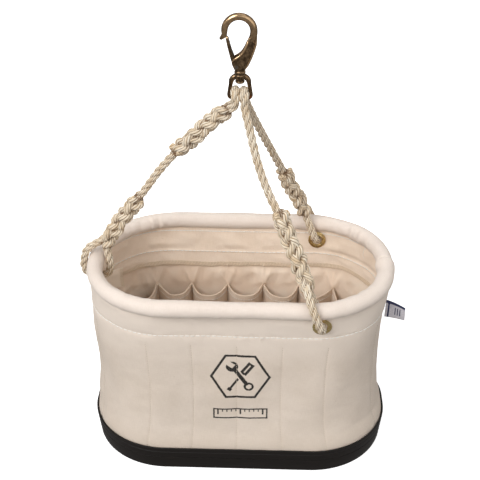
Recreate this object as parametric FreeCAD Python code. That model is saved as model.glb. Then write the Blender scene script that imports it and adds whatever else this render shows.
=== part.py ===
import FreeCAD, Part
import math
import os

# Tool bucket organizer: an oval canvas bucket on a moulded base, with inside tool pockets,
# a hooped rim, a three-legged rope sling and a swivel snap hook. Millimetres, +Z up.
# The origin is the middle of the base's underside. X runs along the oval, the front is -Y.

# Driving dimensions
CLEAR = 0.3                 # gap between neighbouring skins
CORNER = 0.46               # corner radius of every outline, as a share of its width

BASE_LENGTH = 381.0
BASE_WIDTH = 216.0
BASE_HEIGHT = 35.0
BASE_DRAFT = 8.0            # the underside is this much shorter and narrower
BASE_FLOOR = 4.0
BASE_WALL = 2.5
GROOVES = ((19.5, 1.3, 0.9), (28.6, 0.9, 0.5))      # height, width and depth

CANVAS = 1.6                # thickness of the wall
LINING = 1.2                # thickness of floor, facing and pockets
# Outer length and width of the wall at its heights: sagging between base and hem
WALL = (
    (4.3, 367.4, 202.4),
    (35.0, 374.8, 209.8),
    (60.0, 363.0, 202.0),
    (115.0, 354.0, 197.0),
    (172.0, 362.0, 197.0),
    (203.0, 368.0, 199.0),
    (234.7, 368.0, 207.0),
)

RIM_LENGTH = 357.0          # centre line of the hoop
RIM_WIDTH = 210.0
RIM_HEIGHT = 245.0
PIPING_RADIUS = 10.0
HOOP_RADIUS = 8.2
HOOP_BORE = 6.0
FACING_BOTTOM = 183.0
FACING_LAP = ((0.764, 0.0), (0.782, 5.0), (0.802, 15.0))    # share of the way round, lift off

POCKET_TOP = 151.0
POCKET_BOTTOM = 6.4
POCKET_BULGE_TOP = 27.0
POCKET_BULGE_BOTTOM = 25.0
SEAM_GAP = 0.8              # between neighbouring pockets
# How far the pocket stands off the wall across its width, as a share of its bulge
POCKET_SWELL = ((0, 0), (0.14, 0.6), (0.32, 0.93), (0.5, 1), (0.68, 0.93), (0.86, 0.6), (1, 0))
# Pocket sets: name, number, and where the set begins and ends, as shares of the way round
# the wall, clockwise from above, starting at the middle of the back
POCKET_SETS = (
    ("pocket_back", 5, -0.123, 0.131),
    ("pocket_right", 3, 0.131, 0.388),
    ("pocket_front", 4, 0.388, 0.613),
    ("pocket_left", 3, 0.613, 0.877),
)

EYELET_HEIGHT = 222.0
EYELET_X = 99.0
EYELET_HOLE = 6.5
EYELET_BARREL = 7.2
EYELET_FLANGE = 11.5
SHEET_METAL = 0.8

ROPE_RADIUS = 4.75
SPLICE_RADIUS = 8.8
SPLICE_TAPER = 14.0         # length of the cone at a splice's end
EYELET_BEND = 12.0          # axis radius of the rope at an eyelet's edges
BAR_BEND = 7.29             # axis radius of the rope round the swivel eye's bar
TOP_BEND = 14.0             # axis radius of the right rope just below the bar
# Corners of the routes. The right rope's back eye and back splice mirror the front ones. Its front
# leg hangs in a shallow bow, and its back leg is straight.
LEFT_LOWER_EYE = ((-173.7, 0, 271.1), (-192.5, 0, 260.0), (-196.0, 0, 223.0),
                  (-162.0, 0, 222.0), (-162.0, 0, 250.0), (-166.3, 0, 264.9))
LEFT_LOWER_SPLICE = ((-170.0, 0, 268.0), (-118.4, 0, 336.8))
LEFT_LEG = ((-118.4, 0, 336.8), (-85.0, 0, 385.5), (-74.3, 0, 392.7))
LEFT_UPPER_SPLICE = ((-17.5, 0, 449.0), (-74.3, 0, 392.7))
LEFT_UPPER_EYE = ((-17.5, -4.85, 449.0), (-5.0, -7.3, 455.0), (-5.0, -7.3, 470.8),
                  (-5.0, 7.3, 470.8), (-5.0, 7.3, 455.0), (-17.5, 4.85, 449.0))
RIGHT_LOWER_EYE = ((81.1, -100.2, 268.4), (85.5, -120.8, 259.3), (99.9, -120.8, 223.0),
                   (98.3, -87.2, 222.0), (88.3, -86.7, 248.1), (82.0, -91.2, 264.8))
RIGHT_SPLICE = ((81.5, -95.8, 266.6), (51.9, -61.5, 339.6))
FRONT_LEG = ((51.9, -61.5, 339.6), (39.5, -55.0, 357.0), (22.0, -36.5, 394.0), (10.5, -17.0, 437.0),
             (5.0, -7.3, 455.0), (5.0, -7.3, 470.8))
BACK_LEG = ((5.0, 7.3, 470.8), (5.0, 7.3, 455.0), (51.9, 61.5, 339.6))

EYE_BAR_HEIGHT = 463.5      # axis of the swivel eye's bottom bar
EYE_STOCK = 2.3
EYE_HALF_WIDTH = 12.3
EYE_TOP = 492.5
SHANK_RADIUS = 3.5
SHANK_BORE = 3.55

BOW_CENTRE = (-1.0, 541.5)
BOW_RADIUS = 16.2
BOW_STOCK = 4.15
HOOK_PLATE = 5.0            # thickness of the flat lower part
PIN_AT = (-3.6, 501.5)
PIN_RADIUS = 1.25
PIN_BORE = 1.30
CHEEK_INNER = 2.8
CHEEK_OUTER = 4.2

Vector = FreeCAD.Vector
UP = Vector(0, 0, 1)


def save(name, shape):
    """Writes one sub-part and prints its size, so that a wrong solid shows at once."""
    shape.exportStep("parts/" + name + ".step")
    box = shape.optimalBoundingBox()
    print(
        f"{name:16s} valid={shape.isValid()} solids={len(shape.Solids)} volume={shape.Volume:.0f} "
        f"x {box.XMin:.1f} {box.XMax:.1f} y {box.YMin:.1f} {box.YMax:.1f} z {box.ZMin:.1f} {box.ZMax:.1f}"
    )


# Outlines: rectangles with round corners, in level planes

def outline(length, width, z, corner=None):
    """The wire of a rounded rectangle, centred on the Z axis."""
    r = CORNER * width if corner is None else corner
    x = length / 2
    y = width / 2
    diagonal = r * (1 - math.sqrt(0.5))
    edges = []
    for sx, sy in ((1, 1), (1, -1), (-1, -1), (-1, 1)):
        along = Vector(sx * (x - r), sy * y, z)
        across = Vector(sx * x, sy * (y - r), z)
        middle = Vector(sx * (x - diagonal), sy * (y - diagonal), z)
        start, end = (along, across) if sx * sy > 0 else (across, along)
        if edges:
            edges.append(Part.LineSegment(edges[-1].Vertexes[-1].Point, start).toShape())
        edges.append(Part.Arc(start, middle, end).toShape())
    edges.append(Part.LineSegment(edges[-1].Vertexes[-1].Point, edges[0].Vertexes[0].Point).toShape())
    return Part.Wire(edges)


def way_round(length, width):
    """The length of an outline."""
    return 2 * (length + width) - (8 - 2 * math.pi) * CORNER * width


def outline_point(length, width, share, inset):
    """A point inside a rounded rectangle: a share of the way round it, then inset at right angles.
    Returns x, y and the inward direction."""
    r = CORNER * width
    half = length / 2 - r
    side = width / 2 - r
    quarter = math.pi / 2 * r
    runs = (half, quarter, 2 * side, quarter, 2 * half, quarter, 2 * side, quarter, half)
    s = (share % 1.0) * sum(runs)
    leg = 0
    while s > runs[leg]:
        s -= runs[leg]
        leg += 1
    corners = {1: (half, side), 3: (half, -side), 5: (-half, -side), 7: (-half, side)}
    if leg in corners:
        turn = math.radians({1: 90, 3: 0, 5: -90, 7: 180}[leg]) - s / r
        out = (math.cos(turn), math.sin(turn))
        x = corners[leg][0] + r * out[0]
        y = corners[leg][1] + r * out[1]
    else:
        x, y, out = {
            0: (s, width / 2, (0, 1)),
            2: (length / 2, side - s, (1, 0)),
            4: (half - s, -width / 2, (0, -1)),
            6: (-length / 2, s - side, (-1, 0)),
            8: (s - half, width / 2, (0, 1)),
        }[leg]
    return x - inset * out[0], y - inset * out[1], (-out[0], -out[1])


def wall_size(z):
    """Outer length and width of the wall at a height, between the given sections."""
    for low, high in zip(WALL, WALL[1:]):
        if z <= high[0]:
            t = (z - low[0]) / (high[0] - low[0])
            return tuple(a + t * (b - a) for a, b in zip(low[1:], high[1:]))
    return WALL[-1][1:]


def heights(low, high):
    """Both ends of a stretch of wall and the sections between them."""
    return [low] + [section[0] for section in WALL if low < section[0] < high] + [high]


def inset_outline(z, inset):
    """The wall's outer outline at a height, drawn in by an inset."""
    length, width = wall_size(z)
    return outline(length - 2 * inset, width - 2 * inset, z, CORNER * width - inset)


def skin(low, high, inset, thickness):
    """A ring that follows the wall from one height to another."""
    levels = heights(low, high)
    outer = Part.makeLoft([inset_outline(z, inset) for z in levels], True, True)
    inner = Part.makeLoft([inset_outline(z, inset + thickness) for z in levels], True, True)
    return outer.cut(inner)


def ring_tube(outer, bore):
    """A closed round tube along the rim's centre line."""
    path = outline(RIM_LENGTH, RIM_WIDTH, RIM_HEIGHT)
    start = path.Edges[0].Vertexes[0].Point
    tangent = path.Edges[0].tangentAt(path.Edges[0].FirstParameter)
    return sweep_circle(path, start, tangent, outer).cut(sweep_circle(path, start, tangent, bore))


def sweep_circle(path, start, tangent, radius):
    circle = Part.Wire([Part.Circle(start, tangent, radius).toShape()])
    return path.makePipeShell([circle], True, True)


# The bucket

def base_level(z, inset):
    """The base's outer outline at a height, with its draft."""
    grow = BASE_DRAFT * (z / BASE_HEIGHT - 1)
    width = BASE_WIDTH + grow
    return outline(BASE_LENGTH + grow - 2 * inset, width - 2 * inset, z, CORNER * width - inset)


def base_tray():
    tray = Part.makeLoft([base_level(0, 0), base_level(BASE_HEIGHT, 0)], True, True)
    hollow = Part.makeLoft(
        [base_level(BASE_FLOOR, BASE_WALL), base_level(BASE_HEIGHT + 1, BASE_WALL)], True, True
    )
    tray = tray.cut(hollow)
    for height, width, depth in GROOVES:
        low = height - width / 2
        high = height + width / 2
        ring = Part.makeLoft([base_level(low, -1), base_level(high, -1)], True, True)
        core = Part.makeLoft([base_level(low, depth), base_level(high, depth)], True, True)
        tray = tray.cut(ring.cut(core))
    return tray


def canvas_floor():
    z = BASE_FLOOR + 0.3
    inset = CANVAS + CLEAR
    return Part.makeLoft([inset_outline(z, inset), inset_outline(z + LINING, inset)], True, True)


def pocket(start, end, low=POCKET_BOTTOM, high=POCKET_TOP):
    """One bulging panel between two seams, shares of the way round the wall."""
    wires = []
    for z in heights(low, high):
        length, width = wall_size(z)
        rise = (z - low) / (high - low)
        bulge = POCKET_BULGE_BOTTOM + rise * (POCKET_BULGE_TOP - POCKET_BULGE_BOTTOM)
        gap = SEAM_GAP / 2 / way_round(length, width)
        inner = []
        outer = []
        for t, swell in POCKET_SWELL:
            share = start + gap + t * (end - start - 2 * gap)
            inset = CANVAS + CLEAR + bulge * swell
            x, y, inward = outline_point(length, width, share, inset)
            outer.append(Vector(x, y, z))
            inner.append(Vector(x + LINING * inward[0], y + LINING * inward[1], z))
        wires.append(Part.makePolygon(outer + inner[::-1] + outer[:1]))
    return Part.makeLoft(wires, True, True)


def facing_lap():
    """The free end of the facing, which lifts off the wall at the left end."""
    wires = []
    for z in (FACING_BOTTOM - 2, EYELET_HEIGHT - EYELET_FLANGE - 1):
        length, width = wall_size(z)
        outer = []
        inner = []
        for share, lift in FACING_LAP:
            inset = CANVAS + 2 * CLEAR + LINING + lift
            x, y, inward = outline_point(length, width, share, inset)
            outer.append(Vector(x, y, z))
            inner.append(Vector(x + LINING * inward[0], y + LINING * inward[1], z))
        wires.append(Part.makePolygon(outer + inner[::-1] + outer[:1]))
    return Part.makeLoft(wires, True, True)


def side_tag():
    """A folded tag that stands out of the hem seam at the right end, drooping a little."""
    y = -22.0
    corners = (Vector(184.6, y, 204), Vector(206, y, 193), Vector(206, y, 175), Vector(183.6, y, 180))
    lower = Part.Face(Part.makePolygon((corners[0], corners[2], corners[3], corners[0])))
    upper = Part.Face(Part.makePolygon((corners[0], corners[1], corners[2], corners[0])))
    thick = Vector(0, LINING, 0)
    return lower.extrude(thick).fuse(upper.extrude(thick)).removeSplitter()


# Eyelets: each stands at a point of the wall, with its axis square to the canvas

def eyelet_frames():
    """Name, centre on the wall's outer face, and outward axis of each eyelet."""
    slope = (WALL[-1][2] - WALL[-2][2]) / 2 / (WALL[-1][0] - WALL[-2][0])
    length, width = wall_size(EYELET_HEIGHT)
    side = Vector(0.045, 1, -slope)
    side.normalize()
    back = Vector(EYELET_X, width / 2 - 0.2, EYELET_HEIGHT)
    front = Vector(back.x, -back.y, back.z)
    return (
        ("left", Vector(-length / 2, 0, EYELET_HEIGHT), Vector(-1, 0, 0)),
        ("front", front, Vector(side.x, -side.y, side.z)),
        ("back", back, side),
    )


def cylinder(radius, length, base, axis):
    return Part.makeCylinder(radius, length, base, axis)


def eyelet(centre, axis):
    """Flange outside, barrel through the canvas and the facing."""
    stack = CANVAS + CLEAR + LINING + 4.2
    flange = cylinder(EYELET_FLANGE, SHEET_METAL, centre + axis * CLEAR, axis)
    barrel = cylinder(EYELET_BARREL, stack, centre - axis * (stack - CLEAR), axis)
    hole = cylinder(EYELET_HOLE, stack + 4, centre - axis * (stack + 1), axis)
    return flange.fuse(barrel).cut(hole)


def washer(centre, axis):
    """Ring on the inside, where the barrel is clinched over."""
    inside = centre - axis * (CANVAS + CLEAR + LINING + 1.9 + SHEET_METAL)
    disc = cylinder(EYELET_FLANGE, SHEET_METAL, inside, axis)
    return disc.cut(cylinder(EYELET_BARREL + 0.05, 4, inside - axis, axis))


def pierce(shape):
    """Cuts the eyelets' holes."""
    for name, centre, axis in eyelet_frames():
        shape = shape.cut(cylinder(EYELET_BARREL + 0.15, 16, centre - axis * 10, axis))
    return shape


# Ropes: straight runs joined by tangent arcs

def rope_path(points, radii):
    """A wire through points, and the radii of its arcs. An arc is 0.45 of its shorter run over the
    tangent of half its turn, unless radii gives the size of the bar or eyelet it goes round there."""
    edges = []
    here = points[0]
    used = []
    for i in range(1, len(points) - 1):
        back = points[i - 1] - points[i]
        on = points[i + 1] - points[i]
        half_turn = (math.pi - back.getAngle(on)) / 2
        radius = radii.get(i, 0.45 * min(back.Length, on.Length) / math.tan(half_turn))
        reach = radius * math.tan(half_turn)
        back.normalize()
        on.normalize()
        begin = points[i] + back * reach
        finish = points[i] + on * reach
        inward = back + on
        inward.normalize()
        middle = points[i] + inward * (radius / math.cos(half_turn) - radius)
        edges.append(Part.LineSegment(here, begin).toShape())
        edges.append(Part.Arc(begin, middle, finish).toShape())
        used.append(radius)
        here = finish
    edges.append(Part.LineSegment(here, points[-1]).toShape())
    return Part.Wire(edges), used


def rope_tube(name, corners, radii):
    points = [Vector(*corner) for corner in corners]
    path, used = rope_path(points, radii)
    tube = sweep_circle(path, points[0], points[1] - points[0], ROPE_RADIUS)
    expected = math.pi * ROPE_RADIUS ** 2 * path.Length
    shown = ", ".join(f"{radius:.1f}" for radius in used)
    print(f"{name}: length {path.Length:.1f}, volume share {tube.Volume / expected:.4f}, radii {shown}")
    return tube


def splice(ends):
    """The stretch where the rope's strands are tucked back into it, twice as thick."""
    start = Vector(*ends[0])
    end = Vector(*ends[1])
    along = end - start
    body = cylinder(SPLICE_RADIUS, along.Length - SPLICE_TAPER, start, along)
    print(f"splice: length {along.Length:.1f}")
    along.normalize()
    cone = Part.makeCone(SPLICE_RADIUS, ROPE_RADIUS, SPLICE_TAPER, end - along * SPLICE_TAPER, along)
    return body.fuse(cone)


def left_rope():
    """The left leg: an eye round the rim, its splice, the leg, its upper splice and upper eye."""
    eye = rope_tube("left lower eye", LEFT_LOWER_EYE, {2: EYELET_BEND, 3: EYELET_BEND})
    bight = rope_tube("left upper eye", LEFT_UPPER_EYE, {2: BAR_BEND, 3: BAR_BEND})
    leg = rope_tube("left leg", LEFT_LEG, {})
    return eye.fuse([splice(LEFT_LOWER_SPLICE), leg, splice(LEFT_UPPER_SPLICE), bight])


def mirrored(corners):
    """The same corners on the other side of the bucket."""
    return tuple((x, -y, z) for x, y, z in corners)


def right_rope():
    """One rope: an eye at the front eyelet, over the swivel eye's bar, an eye at the back eyelet."""
    bends = {2: EYELET_BEND, 3: EYELET_BEND}
    front = rope_tube("front lower eye", RIGHT_LOWER_EYE, bends)
    back = rope_tube("back lower eye", mirrored(RIGHT_LOWER_EYE), bends)
    bar = len(FRONT_LEG)
    bends = {bar - 2: TOP_BEND, bar - 1: BAR_BEND, bar: BAR_BEND, bar + 1: TOP_BEND}
    legs = rope_tube("right rope", FRONT_LEG + BACK_LEG, bends)
    return front.fuse([splice(RIGHT_SPLICE), legs, splice(mirrored(RIGHT_SPLICE)), back])


# The swivel snap hook, in the XZ plane

def plate(points, thickness):
    """A flat solid from (x, z) corners, centred on Y = 0."""
    corners = [Vector(x, -thickness / 2, z) for x, z in points]
    face = Part.Face(Part.makePolygon(corners + corners[:1]))
    return face.extrude(Vector(0, thickness, 0))


def swivel_eye():
    """A D-shaped eye with a boss that the hook's shank turns in."""
    z = EYE_BAR_HEIGHT
    w = EYE_HALF_WIDTH
    points = [Vector(-4.5, 0, 489), Vector(-w, 0, 483), Vector(-w, 0, z), Vector(w, 0, z),
              Vector(w, 0, 483), Vector(4.5, 0, 489)]
    path = rope_path(points, {1: 4.5, 2: 3.2, 3: 3.2, 4: 4.5})[0]
    bail = sweep_circle(path, points[0], points[1] - points[0], EYE_STOCK)
    boss = cylinder(6.6, EYE_TOP - 486.0, Vector(0, 0, 486.0), UP)
    bore = cylinder(SHANK_BORE, 30, Vector(0, 0, 475.0), UP)
    return bail.fuse(boss).cut(bore).removeSplitter()


def hook_body():
    """Bow, flat lower part, collar, shank and rivet head."""
    cx, cz = BOW_CENTRE
    nose_angle = math.radians(196)

    def on_bow(angle):
        return Vector(cx + BOW_RADIUS * math.cos(angle), 0, cz + BOW_RADIUS * math.sin(angle))

    nose = on_bow(nose_angle)
    arc = Part.Wire([Part.Arc(on_bow(0), on_bow(nose_angle / 2), nose).toShape()])
    bow = sweep_circle(arc, on_bow(0), UP, BOW_STOCK)
    body = bow.fuse(Part.makeSphere(BOW_STOCK, nose))
    body = body.fuse(Part.makeSphere(BOW_STOCK, on_bow(0)))
    spine = plate(
        ((-5.6, 496.0), (5.6, 496.0), (9.0, 505.0), (14.2, 518.0), (19.3, 532.0), (19.3, 541.5),
         (11.1, 541.5), (10.6, 531.0), (6.5, 521.0), (0.5, 513.0), (-2.4, 508.0), (-5.6, 505.5)),
        HOOK_PLATE,
    )
    x, z = PIN_AT
    lug = cylinder(4.1, HOOK_PLATE, Vector(x, -HOOK_PLATE / 2, z), Vector(0, 1, 0))
    body = body.fuse(spine).fuse(lug)
    body = body.cut(cylinder(PIN_RADIUS, 20, Vector(x, -10, z), Vector(0, 1, 0)))
    collar = cylinder(6.0, 3.4, Vector(0, 0, EYE_TOP + 0.3), UP)
    shank = cylinder(SHANK_RADIUS, 13.0, Vector(0, 0, 483.0), UP)
    rivet = Part.makeCone(3.6, 5.4, 1.8, Vector(0, 0, 481.0), UP)
    rivet = rivet.fuse(cylinder(5.4, 1.8, Vector(0, 0, 482.8), UP))
    return body.fuse(collar).fuse(shank).fuse(rivet).removeSplitter()


def hook_gate():
    """A sprung channel from the pin to the inside of the nose. It straddles the lug and the plate."""
    x, z = PIN_AT
    bar = plate(
        ((-7.6, 501.5), (0.4, 501.5), (-0.2, 506.0), (-4.0, 516.0), (-9.7, 535.2), (-12.0, 537.0),
         (-13.4, 534.0), (-9.6, 514.0), (-7.9, 506.5)),
        2 * CHEEK_OUTER,
    )
    y_axis = Vector(0, 1, 0)
    eyes = cylinder(4.0, 2 * CHEEK_OUTER, Vector(x, -CHEEK_OUTER, z), y_axis)
    slot = plate(((-12, 494), (4, 494), (4, 526), (-10.2, 526), (-8.2, 515), (-12, 507)), 2 * CHEEK_INNER)
    gate = bar.fuse(eyes).cut(slot)
    return gate.cut(cylinder(PIN_BORE, 20, Vector(x, -10, z), y_axis)).removeSplitter()


def gate_pin():
    x, z = PIN_AT
    y_axis = Vector(0, 1, 0)
    half = CHEEK_OUTER + 0.3
    pin = cylinder(PIN_RADIUS, 2 * half, Vector(x, -half, z), y_axis)
    for side in (-1, 1):
        pin = pin.fuse(cylinder(2.1, 0.7, Vector(x, side * half, z), y_axis * side))
    return pin


def gate_spring():
    """A leaf in the gate's channel, from the hook's plate to the back of the gate."""
    left = ((-4.6, 506.8), (-6.2, 512.0), (-8.8, 518.6))
    right = [(x + 0.6, z) for x, z in left[::-1]]
    return plate(tuple(left) + tuple(right), 3.6)


def main():
    os.makedirs("parts", exist_ok=True)
    save("base_tray", base_tray())
    save("canvas_floor", canvas_floor())
    save("canvas_wall", pierce(skin(WALL[0][0], WALL[-1][0], 0, CANVAS)))
    save("rim_hoop", ring_tube(HOOP_RADIUS, HOOP_BORE))
    save("rim_piping", ring_tube(PIPING_RADIUS, HOOP_RADIUS + 0.2))
    save("top_facing", pierce(skin(FACING_BOTTOM, WALL[-1][0], CANVAS + CLEAR, LINING)))
    save("facing_lap", facing_lap())
    for name, count, start, end in POCKET_SETS:
        step = (end - start) / count
        for i in range(count):
            save(f"{name}_{i + 1}", pocket(start + i * step, start + (i + 1) * step))
    save("side_tag", side_tag())
    for name, centre, axis in eyelet_frames():
        save("eyelet_" + name, eyelet(centre, axis))
        save("washer_" + name, washer(centre, axis))
    save("left_rope", left_rope())
    save("right_rope", right_rope())
    save("swivel_eye", swivel_eye())
    save("hook_body", hook_body())
    save("hook_gate", hook_gate())
    save("gate_pin", gate_pin())
    save("gate_spring", gate_spring())


main()
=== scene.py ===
import math

import bmesh
import bpy
import numpy as np
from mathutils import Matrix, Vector, noise


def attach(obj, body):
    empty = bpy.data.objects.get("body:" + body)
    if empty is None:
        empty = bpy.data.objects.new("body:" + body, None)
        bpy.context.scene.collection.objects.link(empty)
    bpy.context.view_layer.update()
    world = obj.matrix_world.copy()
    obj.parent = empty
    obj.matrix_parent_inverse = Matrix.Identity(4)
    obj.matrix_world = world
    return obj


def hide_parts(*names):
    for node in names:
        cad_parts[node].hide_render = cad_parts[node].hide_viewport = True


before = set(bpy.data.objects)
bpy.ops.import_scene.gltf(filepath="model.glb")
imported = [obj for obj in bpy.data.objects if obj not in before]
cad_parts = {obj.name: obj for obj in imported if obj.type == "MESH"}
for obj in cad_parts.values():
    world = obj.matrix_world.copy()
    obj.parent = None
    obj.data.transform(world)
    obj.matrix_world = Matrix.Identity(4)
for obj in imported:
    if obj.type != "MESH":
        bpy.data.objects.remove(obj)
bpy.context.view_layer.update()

# Looks of the tool bucket organizer: an oval canvas bucket with inside pockets, a rope sling and
# a swivel snap hook. Shapes are worked out in millimetres, in the row frame, and stored in metres.
MM = 0.001
TAU = 2 * math.pi
UP = np.array([0.0, 0.0, 1.0])
DEPTH = np.array([0.0, 1.0, 0.0])


def show(item):
    bpy.context.scene.collection.objects.link(item)


# Camera

LENS = 76.1                 # millimetres, on a 36 mm sensor
VIEWPOINT = (0.0386, -1.0677, 0.9064)
LOOK_AT = (0.0, 0.0, 0.277)


def make_camera():
    data = bpy.data.cameras.new("camera")
    data.sensor_width = 36.0
    data.lens = LENS
    data.clip_start = 0.05
    data.clip_end = 30.0
    camera = bpy.data.objects.new("camera", data)
    camera.location = VIEWPOINT
    aim = Vector(LOOK_AT) - camera.location
    camera.rotation_euler = aim.to_track_quat("-Z", "Y").to_euler()
    show(camera)
    bpy.context.scene.camera = camera


make_camera()


# Building meshes

def wobble(points, size, seed):
    """Smooth noise, -1 to 1 or so, at points in millimetres; size is how far apart its lumps are."""
    shift = Vector((seed * 17.3, seed * -9.1, seed * 5.7))
    flat = (np.asarray(points, float) / size).reshape(-1, 3)
    found = [noise.noise(Vector(p) + shift) for p in flat]
    return np.array(found).reshape(np.shape(points)[:-1]) * 1.8


def smooth(low, high, x):
    """0 below low, 1 above high, and a soft step between."""
    t = np.clip((np.asarray(x, float) - low) / (high - low), 0, 1)
    return t * t * (3 - 2 * t)


def between(low, start, end, high, x):
    """1 from start to end, 0 below low and above high, with soft steps."""
    return smooth(low, start, x) * (1 - smooth(end, high, x))


def bell(x, centre, width):
    return np.exp(-(((x - centre) / width) ** 2))


def unit(v):
    v = np.asarray(v, float)
    return v / np.maximum(np.linalg.norm(v, axis=-1, keepdims=True), 1e-9)


def distances(line):
    """How far each point is along a line."""
    return np.concatenate([[0], np.cumsum(np.linalg.norm(np.diff(line, axis=0), axis=1))])


def circles(line, radius, across, over, sides):
    """A ring of points round each point of a line."""
    angle = np.arange(sides) / sides * TAU
    spokes = np.cos(angle)[:, None] * across[:, None] + np.sin(angle)[:, None] * over[:, None]
    return line[:, None] + radius[:, None, None] * spokes


def two_faces(middle, normal, half):
    """A ring of points on both faces of a sheet, from a line in its middle."""
    return np.concatenate([middle + normal * half, (middle - normal * half)[::-1]])


class Surface:
    """Collects the closed surfaces of one piece, in millimetres."""

    def __init__(self):
        self.points = []
        self.faces = []
        self.corners = []
        self.extra = []
        self.count = 0

    def loft(self, rings, closed=False, extra=None, lengthwise=None):
        """Joins closed rings of points, (rings, points, 3). Closed joins the last ring to the first;
        otherwise both ends are capped. extra is a number for each point."""
        rings = np.asarray(rings, float)
        rows, columns = rings.shape[:2]
        middle = rings[rows // 2]
        u = np.concatenate([[0], np.cumsum(np.linalg.norm(np.roll(middle, -1, 0) - middle, axis=1))])
        if lengthwise is None:
            steps = np.linalg.norm(np.diff(rings, axis=0), axis=2).mean(1)
            lengthwise = np.concatenate([[0], np.cumsum(steps), [steps.sum() + steps[-1]]])
        last = rows if closed else rows - 1
        r, c = np.meshgrid(np.arange(last), np.arange(columns), indexing="ij")
        r2 = (r + 1) % rows
        c2 = (c + 1) % columns
        quads = np.stack([r * columns + c, r * columns + c2, r2 * columns + c2, r2 * columns + c], -1)
        quads = quads.reshape(-1, 4) + self.count
        corners = ((0, 0), (1, 0), (1, 1), (0, 1))
        uv = np.stack([np.stack([u[c + i], lengthwise[r + j]], -1) for i, j in corners], 2)
        self.faces += quads.tolist()
        self.corners.append(uv.reshape(-1, 2))
        if not closed:
            first = np.arange(columns) + self.count
            self.faces += [first[::-1].tolist(), (first + (rows - 1) * columns).tolist()]
            self.corners.append(np.zeros((2 * columns, 2)))
        self.points.append(rings.reshape(-1, 3))
        extra = np.zeros(rows * columns) if extra is None else np.asarray(extra, float)
        self.extra.append(extra.reshape(-1))
        self.count += rows * columns
        return self

    def tube(self, line, radius, sides=8, round_ends=True, side=None):
        """A round tube along a line. radius may be a number for each point."""
        line = np.asarray(line, float)
        across, over = carry_frames(line, side)
        radius = np.broadcast_to(np.asarray(radius, float), len(line))
        if round_ends:
            line, across, over, radius = rounded_ends(line, across, over, radius)
        return self.loft(circles(line, radius, across, over, sides))

    def turned(self, profile, centre, axis, sides=64, closed=True):
        """A profile of (radius, height) turned round an axis."""
        axis = unit(axis)
        across, over = plane_of(axis)
        angle = np.arange(sides) / sides * TAU
        spoke = np.cos(angle)[:, None] * across + np.sin(angle)[:, None] * over
        centre = np.asarray(centre, float)
        rings = [centre + axis * height + radius * spoke for radius, height in profile]
        return self.loft(rings, closed=closed)

    def place(self, name, material, body="bucket", slot=None, replaces=(), sharp=50):
        """Makes the object, and lets it ride on its body in place of its CAD nodes."""
        mesh = bpy.data.meshes.new(name)
        mesh.from_pydata((np.concatenate(self.points) * MM).tolist(), [], self.faces)
        layer = mesh.uv_layers.new(name="UVMap")
        layer.data.foreach_set("uv", (np.concatenate(self.corners) * MM).astype(np.float32).ravel())
        crown = mesh.attributes.new("crown", "FLOAT", "POINT")
        crown.data.foreach_set("value", np.concatenate(self.extra).astype(np.float32))
        outward(mesh)
        mesh.shade_smooth()
        mesh.set_sharp_from_angle(angle=math.radians(sharp))
        mesh.materials.append(material)
        piece = bpy.data.objects.new(name, mesh)
        show(piece)
        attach(piece, body)
        if replaces:
            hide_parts(*replaces)
        return piece


def outward(mesh):
    """Turns every face outward."""
    work = bmesh.new()
    work.from_mesh(mesh)
    bmesh.ops.recalc_face_normals(work, faces=work.faces)
    work.to_mesh(mesh)
    work.free()


def plane_of(axis):
    """Two directions at right angles to an axis."""
    start = np.array([1.0, 0, 0]) if abs(axis[0]) < 0.8 else UP
    across = unit(np.cross(axis, start))
    return across, np.cross(axis, across)


def carry_frames(line, side=None):
    """Two directions at right angles to a line, carried along it without twist."""
    ahead = unit(np.gradient(line, axis=0))
    across = plane_of(ahead[0])[0] if side is None else unit(side - ahead[0] * np.dot(side, ahead[0]))
    found = []
    for t in ahead:
        across = unit(across - t * np.dot(across, t))
        found.append(across)
    found = np.array(found)
    return found, np.cross(ahead, found)


def rounded_ends(line, across, over, radius):
    """Adds rings beyond both ends of a tube, for round ends."""
    ahead = unit(np.gradient(line, axis=0))
    turns = np.radians([75, 50, 25])
    start = line[0] - ahead[0] * radius[0] * np.sin(turns)[:, None]
    end = line[-1] + ahead[-1] * radius[-1] * np.sin(turns[::-1])[:, None]
    line = np.concatenate([start, line, end])
    radius = np.concatenate([radius[0] * np.cos(turns), radius, radius[-1] * np.cos(turns[::-1])])
    across = np.concatenate([across[:1].repeat(3, 0), across, across[-1:].repeat(3, 0)])
    over = np.concatenate([over[:1].repeat(3, 0), over, over[-1:].repeat(3, 0)])
    return line, across, over, radius


def resample(line, step):
    """Points at even distances along a line."""
    s = distances(line)
    even = np.linspace(0, s[-1], max(3, int(round(s[-1] / step)) + 1))
    return np.stack([np.interp(even, s, line[:, i]) for i in range(3)], 1)


def hermite_path(corners, count=60):
    """A smooth line through points."""
    corners = np.asarray(corners, float)
    s = distances(corners)
    fine = np.linspace(0, s[-1], count)
    return np.stack([hermite(fine, s, corners[:, k]) for k in range(3)], 1)


def hermite(x, knots, values):
    """A smooth curve through knots."""
    knots = np.asarray(knots, float)
    values = np.asarray(values, float)
    slopes = np.gradient(values, knots)
    i = np.clip(np.searchsorted(knots, x) - 1, 0, len(knots) - 2)
    h = knots[i + 1] - knots[i]
    t = np.clip((x - knots[i]) / h, 0, 1)
    return ((1 + 2 * t) * (1 - t) ** 2 * values[i] + t * (1 - t) ** 2 * h * slopes[i]
            + t * t * (3 - 2 * t) * values[i + 1] + t * t * (t - 1) * h * slopes[i + 1])


# Materials

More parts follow.
